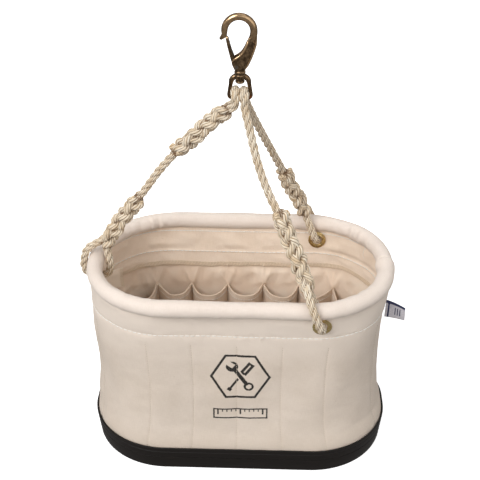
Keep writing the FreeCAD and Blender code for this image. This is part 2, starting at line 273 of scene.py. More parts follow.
class Graph:
    """A material's nodes."""

    def __init__(self, name):
        self.material = bpy.data.materials.new(name)
        self.material.use_nodes = True
        self.tree = self.material.node_tree
        self.shader = self.tree.nodes["Principled BSDF"]

    def node(self, kind, inputs=None, **settings):
        made = self.tree.nodes.new("ShaderNode" + kind)
        for key, value in settings.items():
            setattr(made, key, value)
        for key, value in (inputs or {}).items():
            self.feed(made.inputs[key], value)
        return made

    def feed(self, socket, value):
        if isinstance(value, bpy.types.NodeSocket):
            self.tree.links.new(value, socket)
        else:
            socket.default_value = value

    def math(self, operation, a, b=0.0, c=0.0):
        return self.node("Math", {0: a, 1: b, 2: c}, operation=operation).outputs[0]

    def add(self, a, b):
        return self.math("ADD", a, b)

    def minus(self, a, b):
        return self.math("SUBTRACT", a, b)

    def times(self, a, b):
        return self.math("MULTIPLY", a, b)

    def most(self, a, b):
        return self.math("MAXIMUM", a, b)

    def least(self, a, b):
        return self.math("MINIMUM", a, b)

    def noise(self, vector, scale, detail=3.0, roughness=0.55):
        inputs = {"Vector": vector, "Scale": scale, "Detail": detail, "Roughness": roughness}
        return self.node("TexNoise", inputs).outputs["Fac"]

    def scaled(self, vector, scale):
        return self.node("Mapping", {"Vector": vector, "Scale": scale}).outputs[0]

    def span(self, value, low, high, to_low=0.0, to_high=1.0):
        inputs = {"Value": value, "From Min": low, "From Max": high, "To Min": to_low, "To Max": to_high}
        return self.node("MapRange", inputs).outputs[0]

    def mix(self, share, a, b):
        inputs = {"Factor": share, 6: a, 7: b}
        return self.node("Mix", inputs, data_type="RGBA").outputs[2]

    def bump(self, height, distance, strength=1.0, below=None):
        inputs = {"Height": height, "Distance": distance, "Strength": strength}
        if below is not None:
            inputs["Normal"] = below
        return self.node("Bump", inputs).outputs[0]

    def place(self):
        """The piece's own coordinates, in metres."""
        return self.node("TexCoord").outputs["Object"]

    def uv(self):
        return self.node("UVMap", uv_map="UVMap").outputs[0]

    def crown(self):
        """The number that each point of a piece carries."""
        return self.node("Attribute", attribute_name="crown").outputs["Fac"]

    def finish(self, colour, roughness, normal=None, **fixed):
        self.feed(self.shader.inputs["Base Color"], colour)
        self.feed(self.shader.inputs["Roughness"], roughness)
        if normal is not None:
            self.feed(self.shader.inputs["Normal"], normal)
        for key, value in fixed.items():
            self.shader.inputs[key.replace("_", " ")].default_value = value
        return self.material


def rgb(red, green, blue):
    """A colour picked as 0 to 255 values, as the linear values that nodes take."""
    return tuple((v / 255) ** 2.2 for v in (red, green, blue)) + (1.0,)


def weave(g, uv, pitch):
    """Height of a plain weave, 0 to 1, threads pitch metres apart."""
    grid = g.scaled(uv, (1 / pitch, 1 / pitch, 1))
    parts = g.node("SeparateXYZ", {0: grid})
    crossing = []
    for axis in ("X", "Y"):
        turn = g.times(parts.outputs[axis], math.pi)
        crossing.append(g.math("ABSOLUTE", g.math("SINE", turn)))
    u, v = crossing
    over = g.node("TexChecker", {"Vector": grid, "Scale": 1.0}).outputs["Fac"]
    warp = g.times(u, g.math("MULTIPLY_ADD", v, 0.4, 0.6))
    weft = g.times(v, g.math("MULTIPLY_ADD", u, 0.4, 0.6))
    return g.node("Mix", {0: over, 2: warp, 3: weft}, data_type="FLOAT").outputs[0]


def slubs(g, uv):
    """Uneven threads both ways, 0 to 1."""
    along = g.noise(g.scaled(uv, (120, 1600, 1)), 1.0, 2.0)
    across = g.noise(g.scaled(uv, (1600, 120, 1)), 1.0, 2.0)
    return g.times(g.add(along, across), 0.5)


THREAD_PITCH = 0.00095


def canvas_parts(name, light, shade):
    """The nodes that every canvas shares: its graph, its colour and its normal."""
    g = Graph(name)
    uv = g.uv()
    threads = weave(g, uv, THREAD_PITCH)
    uneven = slubs(g, uv)
    clouds = g.noise(g.place(), 22.0, 4.0)
    fine = g.noise(g.place(), 900.0, 2.0)
    tone = g.span(uneven, 0.36, 0.64)
    tone = g.math("MULTIPLY_ADD", g.span(clouds, 0.35, 0.65), 0.45, g.times(tone, 0.55))
    colour = g.mix(tone, shade, light)
    flecks = g.span(g.noise(g.place(), 420.0, 1.0), 0.74, 0.8)
    colour = g.mix(g.times(flecks, 0.25), colour, rgb(176, 150, 120))
    normal = g.bump(g.math("MULTIPLY_ADD", fine, 0.35, g.add(threads, uneven)), 0.00026, 0.75)
    soft = g.noise(g.place(), 60.0, 3.0)
    normal = g.bump(soft, 0.0012, 0.35, normal)
    return g, colour, normal


def finished_canvas(g, colour, normal):
    return g.finish(colour, 0.88, normal, Sheen_Weight=0.12, Sheen_Roughness=0.5, Specular_IOR_Level=0.25)


def canvas(name, light, shade):
    return finished_canvas(*canvas_parts(name, light, shade))


class Mark:
    """Flat shapes in the front's X and Z, in millimetres, as distances: below 0 is inside."""

    def __init__(self, g, x, z):
        self.g, self.x, self.z = g, x, z

    def turned(self, angle, cx, cz):
        """The same plane, moved to a centre and turned."""
        g = self.g
        x = g.minus(self.x, cx)
        z = g.minus(self.z, cz)
        c, s = math.cos(math.radians(angle)), math.sin(math.radians(angle))
        across = g.add(g.times(x, c), g.times(z, s))
        up = g.minus(g.times(z, c), g.times(x, s))
        return Mark(g, across, up)

    def box(self, half_x, half_z):
        g = self.g
        x = g.minus(g.math("ABSOLUTE", self.x), half_x)
        z = g.minus(g.math("ABSOLUTE", self.z), half_z)
        return g.most(x, z)

    def disc(self, radius):
        g = self.g
        far = g.add(g.times(self.x, self.x), g.times(self.z, self.z))
        return g.minus(g.math("SQRT", far), radius)

    def hexagon(self, radius):
        g = self.g
        sides = [g.math("ABSOLUTE", self.turned(angle, 0, 0).z) for angle in (0, 60, 120)]
        return g.minus(g.most(g.most(sides[0], sides[1]), sides[2]), radius)


def joined(g, shapes):
    found = shapes[0]
    for shape in shapes[1:]:
        found = g.least(found, shape)
    return found


def less(g, shape, hole):
    return g.most(shape, g.times(hole, -1.0))


def printed_mark(g):
    """Ink on the front: a nut with a spanner and a screwdriver crossed in it, and a rule below."""
    place = g.node("SeparateXYZ", {0: g.place()})
    uneven = g.times(g.minus(g.noise(g.place(), 700.0, 2.0), 0.5), 1.1)
    x = g.math("MULTIPLY_ADD", place.outputs["X"], 1000.0, uneven)
    z = g.math("MULTIPLY_ADD", place.outputs["Z"], 1000.0, uneven)
    plane = Mark(g, x, z)
    nut = plane.turned(0, 4.0, 144.0)
    shapes = [less(g, nut.hexagon(32.0), nut.hexagon(29.0))]
    spanner = nut.turned(35, 0.0, 0.0)
    shapes.append(spanner.box(2.6, 15.0))
    head = spanner.turned(0, 0.0, 17.5)
    shapes.append(less(g, head.disc(7.4), head.turned(18, 0.0, 4.0).box(3.1, 5.4)))
    tail = spanner.turned(0, 0.0, -17.5)
    shapes.append(less(g, tail.disc(6.2), tail.hexagon(3.3)))
    driver = nut.turned(-35, 0.0, 0.0)
    gap = spanner.box(4.2, 26.0)
    shaft = driver.turned(0, 0.0, -9.0).box(1.5, 14.0)
    blade = joined(g, [shaft, driver.turned(0, 0.0, -23.0).box(2.7, 2.2)])
    handle = driver.turned(0, 0.0, 14.5)
    handle = less(g, handle.box(4.4, 9.5), handle.box(0.9, 6.5))
    shapes.append(less(g, joined(g, [blade, handle]), gap))
    rule = plane.turned(0, 4.0, 87.5)
    shapes.append(less(g, rule.box(33.5, 7.8), rule.box(31.6, 5.9)))
    ticks = g.math("ABSOLUTE", g.math("PINGPONG", rule.x, 2.75))
    long_ticks = g.math("ABSOLUTE", g.math("PINGPONG", rule.x, 13.75))
    inside = rule.box(31.5, 7.0)
    short = g.most(g.minus(ticks, 0.65), g.minus(2.6, rule.z))
    tall = g.most(g.minus(long_ticks, 1.0), g.minus(-1.6, rule.z))
    shapes.append(g.most(g.least(short, tall), inside))
    ink = g.span(joined(g, shapes), 0.25, -0.25)
    front = g.math("LESS_THAN", place.outputs["Y"], 0.0)
    outside = g.math("LESS_THAN", g.node("NewGeometry").outputs["Backfacing"], 0.5)
    worn = g.span(g.noise(g.place(), 1400.0, 2.0), 0.3, 0.5, 0.82, 1.0)
    return g.times(g.times(ink, front), g.times(outside, worn))


def sleeve_canvas():
    """The piping's canvas, painted lighter than the wall's as light from above. Crown is 1 in the gap
    where the sleeve's ends meet, which is painted dark as shade.
    """
    g, colour, normal = canvas_parts("piping_canvas", rgb(245, 232, 221), rgb(234, 219, 206))
    # Painted shade in the gap where the sleeve's ends meet
    gap = g.crown()
    colour = g.mix(g.times(gap, 0.85), colour, rgb(128, 104, 82))
    return finished_canvas(g, colour, normal)


def wall_canvas():
    """The wall's canvas, with the mark printed on the outside of its front. Crown is 1 outside. The inner
    face is painted warmer and lighter as bounce light, and the outside's upper part is painted lighter.
    """
    g, colour, normal = canvas_parts("wall_canvas", rgb(229, 215, 201), rgb(215, 200, 184))
    outside = g.crown()
    # Painted bounce light: the inner face gets a warmer, lighter colour than the outside
    painted_bounce_inside = g.mix(g.span(g.noise(g.place(), 22.0, 4.0), 0.35, 0.65), rgb(244, 221, 198), rgb(252, 234, 214))
    colour = g.mix(outside, painted_bounce_inside, colour)
    low = g.node("SeparateXYZ", {0: g.place()}).outputs["Z"]
    # Painted light: the outside gets lighter from 160 mm up, under the piping's shadow
    colour = g.mix(g.times(g.span(low, 0.16, 0.21), outside), colour, rgb(243, 229, 215))
    ink = g.times(printed_mark(g), outside)
    colour = g.mix(ink, colour, rgb(30, 28, 27))
    # Darker towards the bottom, in noisy patches
    darker_near_bottom = g.times(g.span(low, 0.062, 0.035), g.noise(g.place(), 45.0, 4.0))
    colour = g.mix(g.times(darker_near_bottom, 0.35), colour, rgb(176, 158, 136))
    return finished_canvas(g, colour, normal)


def rope_material(name, light, shade):
    """Crown is 1 on the outside of the strands and 0 in the grooves between them, where shade is painted
    dark brown.
    """
    g = Graph(name)
    uv = g.uv()
    crown = g.crown()
    fibres = g.noise(g.scaled(uv, (2400, 140, 1)), 1.0, 3.0, 0.65)
    strands = g.noise(g.scaled(uv, (620, 55, 1)), 1.0, 2.0)
    broad = g.times(g.span(strands, 0.38, 0.6), 0.6)
    tone = g.math("MULTIPLY_ADD", g.span(fibres, 0.36, 0.62), 0.4, broad)
    colour = g.mix(tone, shade, light)
    # Painted shade: the grooves between strands and yarns go dark brown
    deep = g.span(crown, 0.66, 0.1, 0.0, 0.95)
    colour = g.mix(deep, colour, rgb(112, 80, 50))
    clouds = g.span(g.noise(g.place(), 55.0, 3.0), 0.5, 0.7, 0.0, 0.45)
    colour = g.mix(clouds, colour, rgb(190, 162, 124))
    height = g.add(fibres, g.times(strands, 0.6))
    normal = g.bump(height, 0.0006, 1.0)
    return g.finish(colour, 0.7, normal, Sheen_Weight=0.1, Sheen_Roughness=0.4, Specular_IOR_Level=0.35)


def thread_material(name, colour):
    g = Graph(name)
    twist = g.noise(g.scaled(g.uv(), (2500, 1200, 1)), 1.0, 2.0)
    shown = g.mix(g.span(twist, 0.3, 0.7), tuple(v * 0.78 for v in colour[:3]) + (1.0,), colour)
    return g.finish(shown, 0.7, g.bump(twist, 0.0002, 0.5), Sheen_Weight=0.15)


def plastic_material():
    g = Graph("moulded_plastic")
    grain = g.noise(g.place(), 2600.0, 3.0, 0.6)
    scuff = g.noise(g.scaled(g.place(), (30, 30, 260)), 1.0, 4.0, 0.6)
    marks = g.span(scuff, 0.56, 0.7, 0.0, 0.5)
    colour = g.mix(marks, rgb(23, 18, 15), rgb(40, 34, 29))
    rough = g.span(g.add(grain, g.times(marks, 0.5)), 0.2, 1.2, 0.42, 0.66)
    normal = g.bump(grain, 0.00012, 0.5)
    waves = g.noise(g.place(), 35.0, 2.0)
    return g.finish(colour, rough, g.bump(waves, 0.0008, 0.25, normal), Specular_IOR_Level=0.35)


def metal_material(name, bright, dull, dark, rough, spot=None):
    """Worn metal: dull patches, dark tarnish, small pits, and a painted highlight in the bright colour
    where the crown is up.
    """
    g = Graph(name)
    patches = g.span(g.noise(g.place(), 180.0, 4.0, 0.6), 0.38, 0.66)
    middle = tuple((a + b) / 2 for a, b in zip(bright, dull))
    colour = g.mix(patches, dull, middle)
    tarnish = g.span(g.noise(g.place(), 420.0, 4.0, 0.65), 0.5, 0.68, 0.0, 0.75)
    colour = g.mix(tarnish, colour, dark)
    if spot:
        centre, reach, shade = spot
        away = g.node("VectorMath", {0: g.place(), 1: centre}, operation="DISTANCE").outputs["Value"]
        worn = g.math("MULTIPLY_ADD", g.noise(g.place(), 500.0, 2.0), 0.003, away)
        colour = g.mix(g.span(worn, reach, reach * 0.6), colour, shade)
    # Painted highlight: where a piece's crown is up, its colour goes towards the bright one
    highlight_share = g.crown()
    highlight_share = g.times(highlight_share, g.span(g.noise(g.place(), 260.0, 4.0), 0.3, 0.6, 0.5, 1.0))
    colour = g.mix(highlight_share, colour, bright)
    pits = g.noise(g.place(), 1500.0, 3.0, 0.6)
    normal = g.bump(pits, 0.00009, 0.6)
    normal = g.bump(g.noise(g.place(), 300.0, 2.0), 0.0003, 0.25, normal)
    spread = g.span(g.add(pits, tarnish), 0.2, 1.4, rough[0], rough[1])
    return g.finish(colour, spread, normal, Metallic=1.0)


def tag_material():
    g = Graph("tag_weave")
    uv = g.uv()
    threads = weave(g, uv, 0.0005)
    edge = g.crown()
    tone = g.span(g.noise(g.scaled(uv, (300, 1800, 1)), 1.0, 2.0), 0.3, 0.7)
    colour = g.mix(tone, rgb(176, 172, 180), rgb(212, 208, 214))
    colour = g.mix(g.span(edge, 0.45, 0.55), colour, rgb(40, 44, 78))
    return g.finish(colour, 0.7, g.bump(threads, 0.00015, 0.5), Sheen_Weight=0.1)


ROPE = rope_material("rope_fibre", rgb(255, 247, 230), rgb(206, 178, 140))
ROPE_END = rope_material("rope_end_fibre", rgb(246, 228, 200), rgb(214, 186, 148))
WALL_CANVAS = wall_canvas()
# The piping's cloth is the wall's canvas, painted lighter as light from above
PIPING_CANVAS_PAINTED_LIT = sleeve_canvas()
# Painted bounce light: the lining is a lighter, warmer copy of the wall's canvas
LINING_CANVAS_BOUNCE_LIT = canvas("lining_canvas", rgb(249, 231, 212), rgb(237, 216, 194))
# Painted light: the facing's free end is a lighter copy of the canvas, as if lit
FLAP_CANVAS_PAINTED_LIT = canvas("flap_canvas", rgb(255, 241, 223), rgb(246, 229, 208))
POCKET_CANVAS = canvas("pocket_canvas", rgb(232, 213, 194), rgb(218, 196, 174))
THREAD = thread_material("sewing_thread", rgb(252, 247, 240))
SEAM_THREAD = thread_material("seam_thread", rgb(214, 198, 180))
EDGE_THREAD = thread_material("serging_thread", rgb(233, 212, 184))
PLASTIC = plastic_material()
BRASS = metal_material("brass", rgb(246, 228, 178), rgb(222, 196, 138), rgb(140, 108, 62), (0.16, 0.4))
BRONZE = metal_material("bronze", rgb(226, 190, 148), rgb(96, 77, 58), rgb(46, 36, 27), (0.09, 0.26))
EYE_BRONZE = metal_material(
    "eye_bronze", rgb(180, 150, 116), rgb(96, 77, 58), rgb(44, 35, 26), (0.12, 0.3),
    ((0.0118, -0.001, 0.4655), 0.0045, rgb(176, 110, 62)),
)
STEEL = metal_material("pin_steel", rgb(150, 140, 126), rgb(118, 108, 96), rgb(60, 50, 42), (0.25, 0.5))
TAG = tag_material()


# Ropes: three strands laid round each other, with an eye splice at each end

LAY = 30.0                  # one turn of the strands
STRAND = 2.65               # radius of a strand
SPREAD = 2.4                # how far a strand's middle is from the rope's middle
SPLICE_SPREAD = 5.3
SPLICE_WEAVE = 1.9          # how far strands pass over and under each other in a splice
SWOLLEN = 1.25              # how much thicker a strand is there, where it isn't under load
TUCK_LAY = 150.0            # one turn of the tucked strands, against the lay
YARNS = 6                   # yarns that show round a strand
YARN_TURN = -0.19           # their twist, radians for each millimetre
STEP = 1.1
SPLICE_REACH = 9.8          # how far a splice's surface is from its middle, about
LOOSE_BAR = (458.0, 468.0)  # heights between which the strands loosen towards the swivel eye

# Each route's corners: tail in the lower splice, eye round the rim, lower splice, leg, upper end
LEFT_ROUTE = (
    (-157.0, 0, 282.4), (-173.7, 0, 271.1), (-192.5, 0, 260.0), (-196.0, 0, 223.0),
    (-162.0, 0, 222.0), (-162.0, 0, 250.0), (-166.3, 0, 264.9), (-154.4, 0, 288.8),
    (-118.4, 0, 336.8), (-85.0, 0, 385.5), (-36.0, 0, 430.7), (-17.5, -4.85, 449.0),
    (-5.0, -7.3, 455.0), (-5.0, -7.3, 470.8), (-5.0, 7.3, 470.8), (-5.0, 7.3, 455.0),
    (-17.5, 4.85, 449.0), (-34.5, 2.2, 432.0),
)
FRONT_EYE = (
    (73.0, -88.0, 285.0), (81.1, -100.2, 268.4), (85.5, -120.8, 259.3), (99.9, -120.8, 223.0),
    (98.3, -87.2, 222.0), (88.3, -86.7, 248.1), (82.0, -91.2, 264.8), (72.5, -85.4, 288.7),
)
FRONT_LEG = (
    (51.9, -61.5, 339.6), (39.5, -55.0, 357.0), (22.0, -36.5, 394.0), (10.5, -17.0, 437.0),
    (5.0, -7.3, 455.0), (5.0, -7.3, 470.8),
)
BACK_LEG = ((5.0, 7.3, 470.8), (5.0, 7.3, 455.0), (51.9, 61.5, 339.6))
RIGHT_ROUTE = FRONT_EYE + FRONT_LEG + BACK_LEG + tuple((x, -y, z) for x, y, z in FRONT_EYE[::-1])


def spline_line(corners):
    """The line of a NURBS spline that turns at the corners, as points in millimetres."""
    curve = bpy.data.curves.new("route", "CURVE")
    curve.dimensions = "3D"
    curve.resolution_u = 24
    spline = curve.splines.new("NURBS")
    spline.points.add(len(corners) - 1)
    for point, corner in zip(spline.points, corners):
        point.co = (*(v * MM for v in corner), 1.0)
    spline.order_u = 3
    spline.use_endpoint_u = True
    holder = bpy.data.objects.new("route", curve)
    show(holder)
    seen = holder.evaluated_get(bpy.context.evaluated_depsgraph_get())
    mesh = bpy.data.meshes.new_from_object(seen)
    line = np.array([v.co[:] for v in mesh.vertices]) / MM
    bpy.data.objects.remove(holder)
    bpy.data.curves.remove(curve)
    bpy.data.meshes.remove(mesh)
    return line


def nearest(line, point):
    """The number of the line's point that is nearest to a place."""
    return int(np.argmin(np.linalg.norm(line - np.asarray(point, float), axis=1)))


class Rope:
    """A rope's centre line, its frames, and its strands' places."""

    def __init__(self, corners):
        self.line = resample(spline_line(corners), STEP)
        self.s = np.arange(len(self.line)) * np.linalg.norm(self.line[1] - self.line[0])
        self.across, self.over = carry_frames(self.line)
        self.hidden = np.zeros(len(self.line))
        self.pieces = []

    def strand_at(self, index, k, spread, angle=None):
        """Centres of strand k at points of the line, at the rope's lay or at the angles given."""
        if angle is None:
            angle = TAU * self.s[index] / LAY
        angle = angle + TAU * k / 3
        spoke = np.cos(angle)[:, None] * self.across[index] + np.sin(angle)[:, None] * self.over[index]
        return self.line[index] + np.asarray(spread)[..., None] * spoke

    def surface(self):
        """The whole rope as one mesh; inside a splice it is drawn thinner, round the swivel eye
        its strands are looser."""
        made = Surface()
        index = np.arange(len(self.line))
        near_bar = smooth(*LOOSE_BAR, self.line[:, 2])
        loose = 1 + 0.14 * near_bar
        spread = SPREAD * loose - self.hidden * 0.3
        for k in range(3):
            centres = self.strand_at(index, k, spread)
            centres[:, 2] += 0.88 * near_bar
            thick = STRAND * loose - self.hidden * 0.3
            twisted_strand(made, centres, thick, self.line, SPREAD + STRAND)
        return made


def twisted_strand(made, centres, radius, axis_line, reach, start_turn=0.0):
    """Adds one strand with its yarns. Crown comes from how far each point is off the rope's line."""
    across, over = carry_frames(centres)
    along = distances(centres)
    sides = 6 * YARNS
    angle = np.arange(sides) / sides * TAU
    radius = np.broadcast_to(radius, len(centres))
    groove = np.abs(np.sin(YARNS * angle / 2)) ** 0.8
    yarn = 0.86 + 0.18 * groove + 0.03 * np.cos((YARNS - 3) * angle + 1.0)
    turned = angle[None] + (YARN_TURN * along + start_turn)[:, None]
    circle = np.cos(turned)[..., None] * across[:, None] + np.sin(turned)[..., None] * over[:, None]
    rings = centres[:, None] + (radius[:, None] * yarn[None])[..., None] * circle
    away = np.linalg.norm(rings - axis_line[:, None], axis=2)
    # Crown is low in the grooves between strands and yarns, where the rope's material paints shade
    crown = np.clip((away - reach * 0.45) / (reach * 0.5), 0, 1) * (0.12 + 0.88 * groove)
    made.loft(rings, extra=crown, lengthwise=np.append(along, along[-1] + STEP))


def splice(rope, name, first, last, tail_first, forward):
    """An eye splice on the rope's line from point first, at the throat, to point last. The tail's
    three strands leave the line at tail_first and are tucked against the lay of the others."""
    way = 1 if last > first else -1
    index = np.arange(first, last + way, way)
    a = np.abs(rope.s[index] - rope.s[first])
    long = a[-1]
    opening = smooth(-5, 10, a)
    size = opening * (1 - smooth(long - 12, long - 1, a))
    middle = rope.line[index[len(index) // 2]]
    ahead = unit(rope.line[index[-1]] - middle)
    axis = middle + (a - a[len(a) // 2])[:, None] * ahead
    across, over = rope.across[index], rope.over[index]
    lumps = 1 + 0.08 * np.sin(a * 0.55 + len(name)) + 0.05 * np.sin(a * 1.31 + 2.0)
    # The rope's own strands make one turn less here than its lay has, the tucked ones turn back
    own_rate = TAU * (1 / LAY - 1 / long)
    tuck_rate = TAU / TUCK_LAY
    swing = SPLICE_WEAVE * size * np.sin(1.5 * (own_rate + tuck_rate) * a)
    start = TAU * rope.s[first] / LAY
    made = Surface()
    for k in range(3):
        spread = SPREAD + size * (SPLICE_SPREAD - SPREAD) + swing
        centres = rope.strand_at(index, k, spread, start + way * own_rate * a)
        thick = (STRAND + SWOLLEN * size) * lumps
        twisted_strand(made, centres, thick, rope.line[index], SPLICE_REACH)
    tail_index = np.clip(tail_first + forward * np.arange(len(index)), 0, len(rope.line) - 1)
    knobs = Surface()
    keep = a <= long - 9
    for k in range(3):
        angle = start - way * tuck_rate * a + TAU * k / 3 + math.pi / 3
        spoke = np.cos(angle)[:, None] * across + np.sin(angle)[:, None] * over
        tucked = axis + (SPLICE_SPREAD * (0.5 + 0.5 * opening) - swing)[:, None] * spoke
        loose = rope.strand_at(tail_index, k, np.full(len(index), SPREAD))
        blend = smooth(0, 14, a)[:, None]
        centres = (loose * (1 - blend) + tucked * blend)[keep]
        thick = ((STRAND + SWOLLEN * opening) * lumps)[keep]
        twisted_strand(made, centres, thick, axis[keep], SPLICE_REACH, start_turn=k)
        stub(knobs, centres, spoke[keep], ahead, k, len(name))
    rope.pieces.append(made.place(name, ROPE, slot="rope", sharp=60))
    rope.pieces.append(knobs.place(name + "_ends", ROPE_END, slot="rope", sharp=60))
    inside = np.abs(rope.s - (rope.s[first] + rope.s[last]) / 2)
    rope.hidden = np.maximum(rope.hidden, 1 - smooth(long / 2 - 8, long / 2 - 2, inside))
    gone = forward * (np.arange(len(rope.line)) - tail_first)
    rope.hidden = np.maximum(rope.hidden, smooth(2, 8, gone) * (gone <= 40) * (gone >= 0))


def stub(made, centres, spoke, ahead, k, seed):
    """The cut end of a tucked strand: it turns outwards and ends in a round knob."""
    start = centres[-3]
    out = unit(spoke[-1])
    t = np.linspace(0, 1, 15)
    lean = 0.8 + 0.5 * math.sin(seed * 1.7 + k * 2.1)
    reach = 6.0 + 1.4 * math.sin(seed + k * 1.3)
    side = unit(np.cross(ahead, out))
    line = (start + ahead * (8.5 * t - 2.5 * t ** 3)[:, None] * lean + out * (reach * t ** 1.5)[:, None]
            + side * (2.5 * math.sin(k * 2.4 + seed) * t ** 2)[:, None])
    line = resample(line, 0.55)
    u = np.linspace(0, 1, len(line))
    dome = np.clip(1 - (np.clip(u - 0.62, 0, None) / 0.385) ** 4, 0.02, 1)
    thick = (STRAND + 0.8 + 0.8 * smooth(0.2, 0.8, u)) * np.sqrt(dome)
    twisted_strand(made, line, thick, line - out * 8.0, 9.0)


def make_rope(name, corners, splices, node):
    """splices: name, throat, end, the tail's throat point, and the way the tail then runs."""
    rope = Rope(corners)
    for title, throat, end, tail, forward in splices:
        splice(rope, title, *(nearest(rope.line, point) for point in (throat, end, tail)), forward)
    cord = rope.surface().place(name, ROPE, slot="rope", replaces=(node,), sharp=60)


make_rope("left_rope_strands", LEFT_ROUTE, (
    ("left_lower_splice", (-166.3, 0, 264.9), (-118.4, 0, 336.8), (-173.7, 0, 271.1), -1),
    ("left_upper_splice", (-12.0, -6.2, 451.5), (-77.0, 0, 390.5), (-12.0, 6.2, 451.5), 1),
), "left_rope")
make_rope("right_rope_strands", RIGHT_ROUTE, (
    ("front_splice", (82.0, -91.2, 264.8), (42.5, -57.5, 351.0), (81.1, -100.2, 268.4), -1),
    ("back_splice", (82.0, 91.2, 264.8), (49.6, 58.8, 345.0), (81.1, 100.2, 268.4), 1),
), "right_rope")


# The bucket's outlines: rounded rectangles, in level planes

CORNER = 0.46
CLEAR = 0.3
CANVAS = 1.6
LINING = 1.2
WALL = np.array([
    (4.3, 367.4, 202.4), (35.0, 374.8, 209.8), (60.0, 363.0, 202.0), (115.0, 354.0, 197.0),
    (172.0, 362.0, 197.0), (203.0, 368.0, 199.0), (234.7, 368.0, 207.0),
])
WALL_BOTTOM, WALL_TOP = 4.3, 238.0
WALL_ROUND = 1010.0         # the way round the wall
RIM_LENGTH, RIM_WIDTH, RIM_HEIGHT, PIPING = 357.0, 210.0, 245.0, 10.0
RIM_ROUND = 1050.0          # the way round the piping
PIPING_SEAM = 0.249         # share of the way round where the sleeve's ends meet
BASE_LENGTH, BASE_WIDTH, BASE_HEIGHT, BASE_DRAFT, BASE_WALL = 381.0, 216.0, 35.0, 8.0, 2.5
HEM = 203.0                 # height of the hem's stitch row, inside and out
TOP_ROW = 231.3             # height of the inside row right under the piping
POCKET_SETS = (
    ("pocket_back", 5, -0.123, 0.131), ("pocket_right", 3, 0.131, 0.388),
    ("pocket_front", 4, 0.388, 0.613), ("pocket_left", 3, 0.613, 0.877),
)
SEAMS = [a + (b - a) * i / n for _, n, a, b in POCKET_SETS for i in range(n)]


def past(share, mark):
    """How far shares of the way round are past a mark, -0.5 to 0.5."""
    return (share - mark + 0.5) % 1.0 - 0.5


def outline(length, width, share, z=0.0):
    """Points and outward directions a share of the way round, clockwise from above, from the
    middle of the back."""
    r = CORNER * width
    half = length / 2 - r
    side = width / 2 - r
    quarter = math.pi / 2 * r
    s = (share % 1.0) * 4 * (half + side + quarter)
    done = []               # how much of each straight and each corner lies behind
    for leg in (half, quarter, 2 * side, quarter, 2 * half, quarter, 2 * side, quarter, half):
        done.append(np.clip(s, 0, leg))
        s = s - leg
    x = done[0] - done[4] + done[8]
    y = side - done[2] + done[6]
    angle = math.pi / 2 - (done[1] + done[3] + done[5] + done[7]) / r
    out = np.stack([np.cos(angle), np.sin(angle), 0 * angle], -1)
    return np.stack([x + r * out[..., 0], y + r * out[..., 1], 0 * x + z], -1), out


def relief(points, share):
    """How far the canvas stands out or in, from soft folds, seams and stitch rows."""
    z = points[..., 2]
    inside_field = between(30, 60, 222, 234, z)
    folds = 1.1 * wobble(points, 62.0, 1) + 0.45 * wobble(points * (1, 1, 0.35), 26.0, 2)
    folds = folds + 0.22 * wobble(points * (0.6, 0.6, 1.6), 14.0, 3)
    out = folds * inside_field - 0.45 * bell(z, HEM, 1.7) - 0.3 * bell(z, HEM, 5.0)
    pull = 0.28 * wobble(points, 6.5, 4) * (bell(z, HEM, 9.0) + bell(z, TOP_ROW, 8.0))
    seam = np.zeros_like(z)
    for s in SEAMS:
        gap = np.abs(past(share, s)) * WALL_ROUND
        seam += 0.55 * bell(gap, 0, 1.1) + 0.5 * bell(gap, 0, 7.0)
    return out + pull - seam * between(8, 14, 183, 193, z)


def sag(share, z):
    """The wall's large uneven shape: fuller low down at the left end, drawn in under the hem at
    the right end."""
    left = bell(past(share, 0.75), 0, 0.085)
    right = bell(past(share, 0.25), 0, 0.075)
    return 5.2 * left * between(34, 75, 150, 212, z) - 4.2 * right * between(120, 175, 190, 226, z)


def wall_point(share, z, inset=0.0, lift=0.0):
    """Points on the wall at shares of the way round and heights, drawn in by inset, with the
    canvas's relief. Returns points and outward directions."""
    share, z = np.broadcast_arrays(np.asarray(share, float), np.asarray(z, float))
    length = hermite(z, WALL[:, 0], WALL[:, 1])
    width = hermite(z, WALL[:, 0], WALL[:, 2])
    base, out = outline(length, width, share, z)
    return base + out * (relief(base, share) + sag(share, z) - inset - lift)[..., None], out


def slack(share, z):
    """How far the wall's inner face puckers inward between the pocket tops and the facing."""
    ring = outline(362.0, 197.0, share, z)[0]
    window = between(146, 158, 170, 181, z)
    folds = wobble(ring * (1, 1, 0.8), 24.0, 31) + 0.8 * wobble(ring * (1, 1, 0.5), 11.0, 32)
    for s in SEAMS:
        gap = np.abs(past(share, s)) * WALL_ROUND
        folds = folds + 1.1 * bell(gap - (z - 150) * 0.4, 0, 4.0)
    return window * np.clip(1.6 + 1.7 * folds, 0, 5.5)


def ring_shares(count):
    """Even shares of the way round."""
    return np.arange(count) / count


# Base

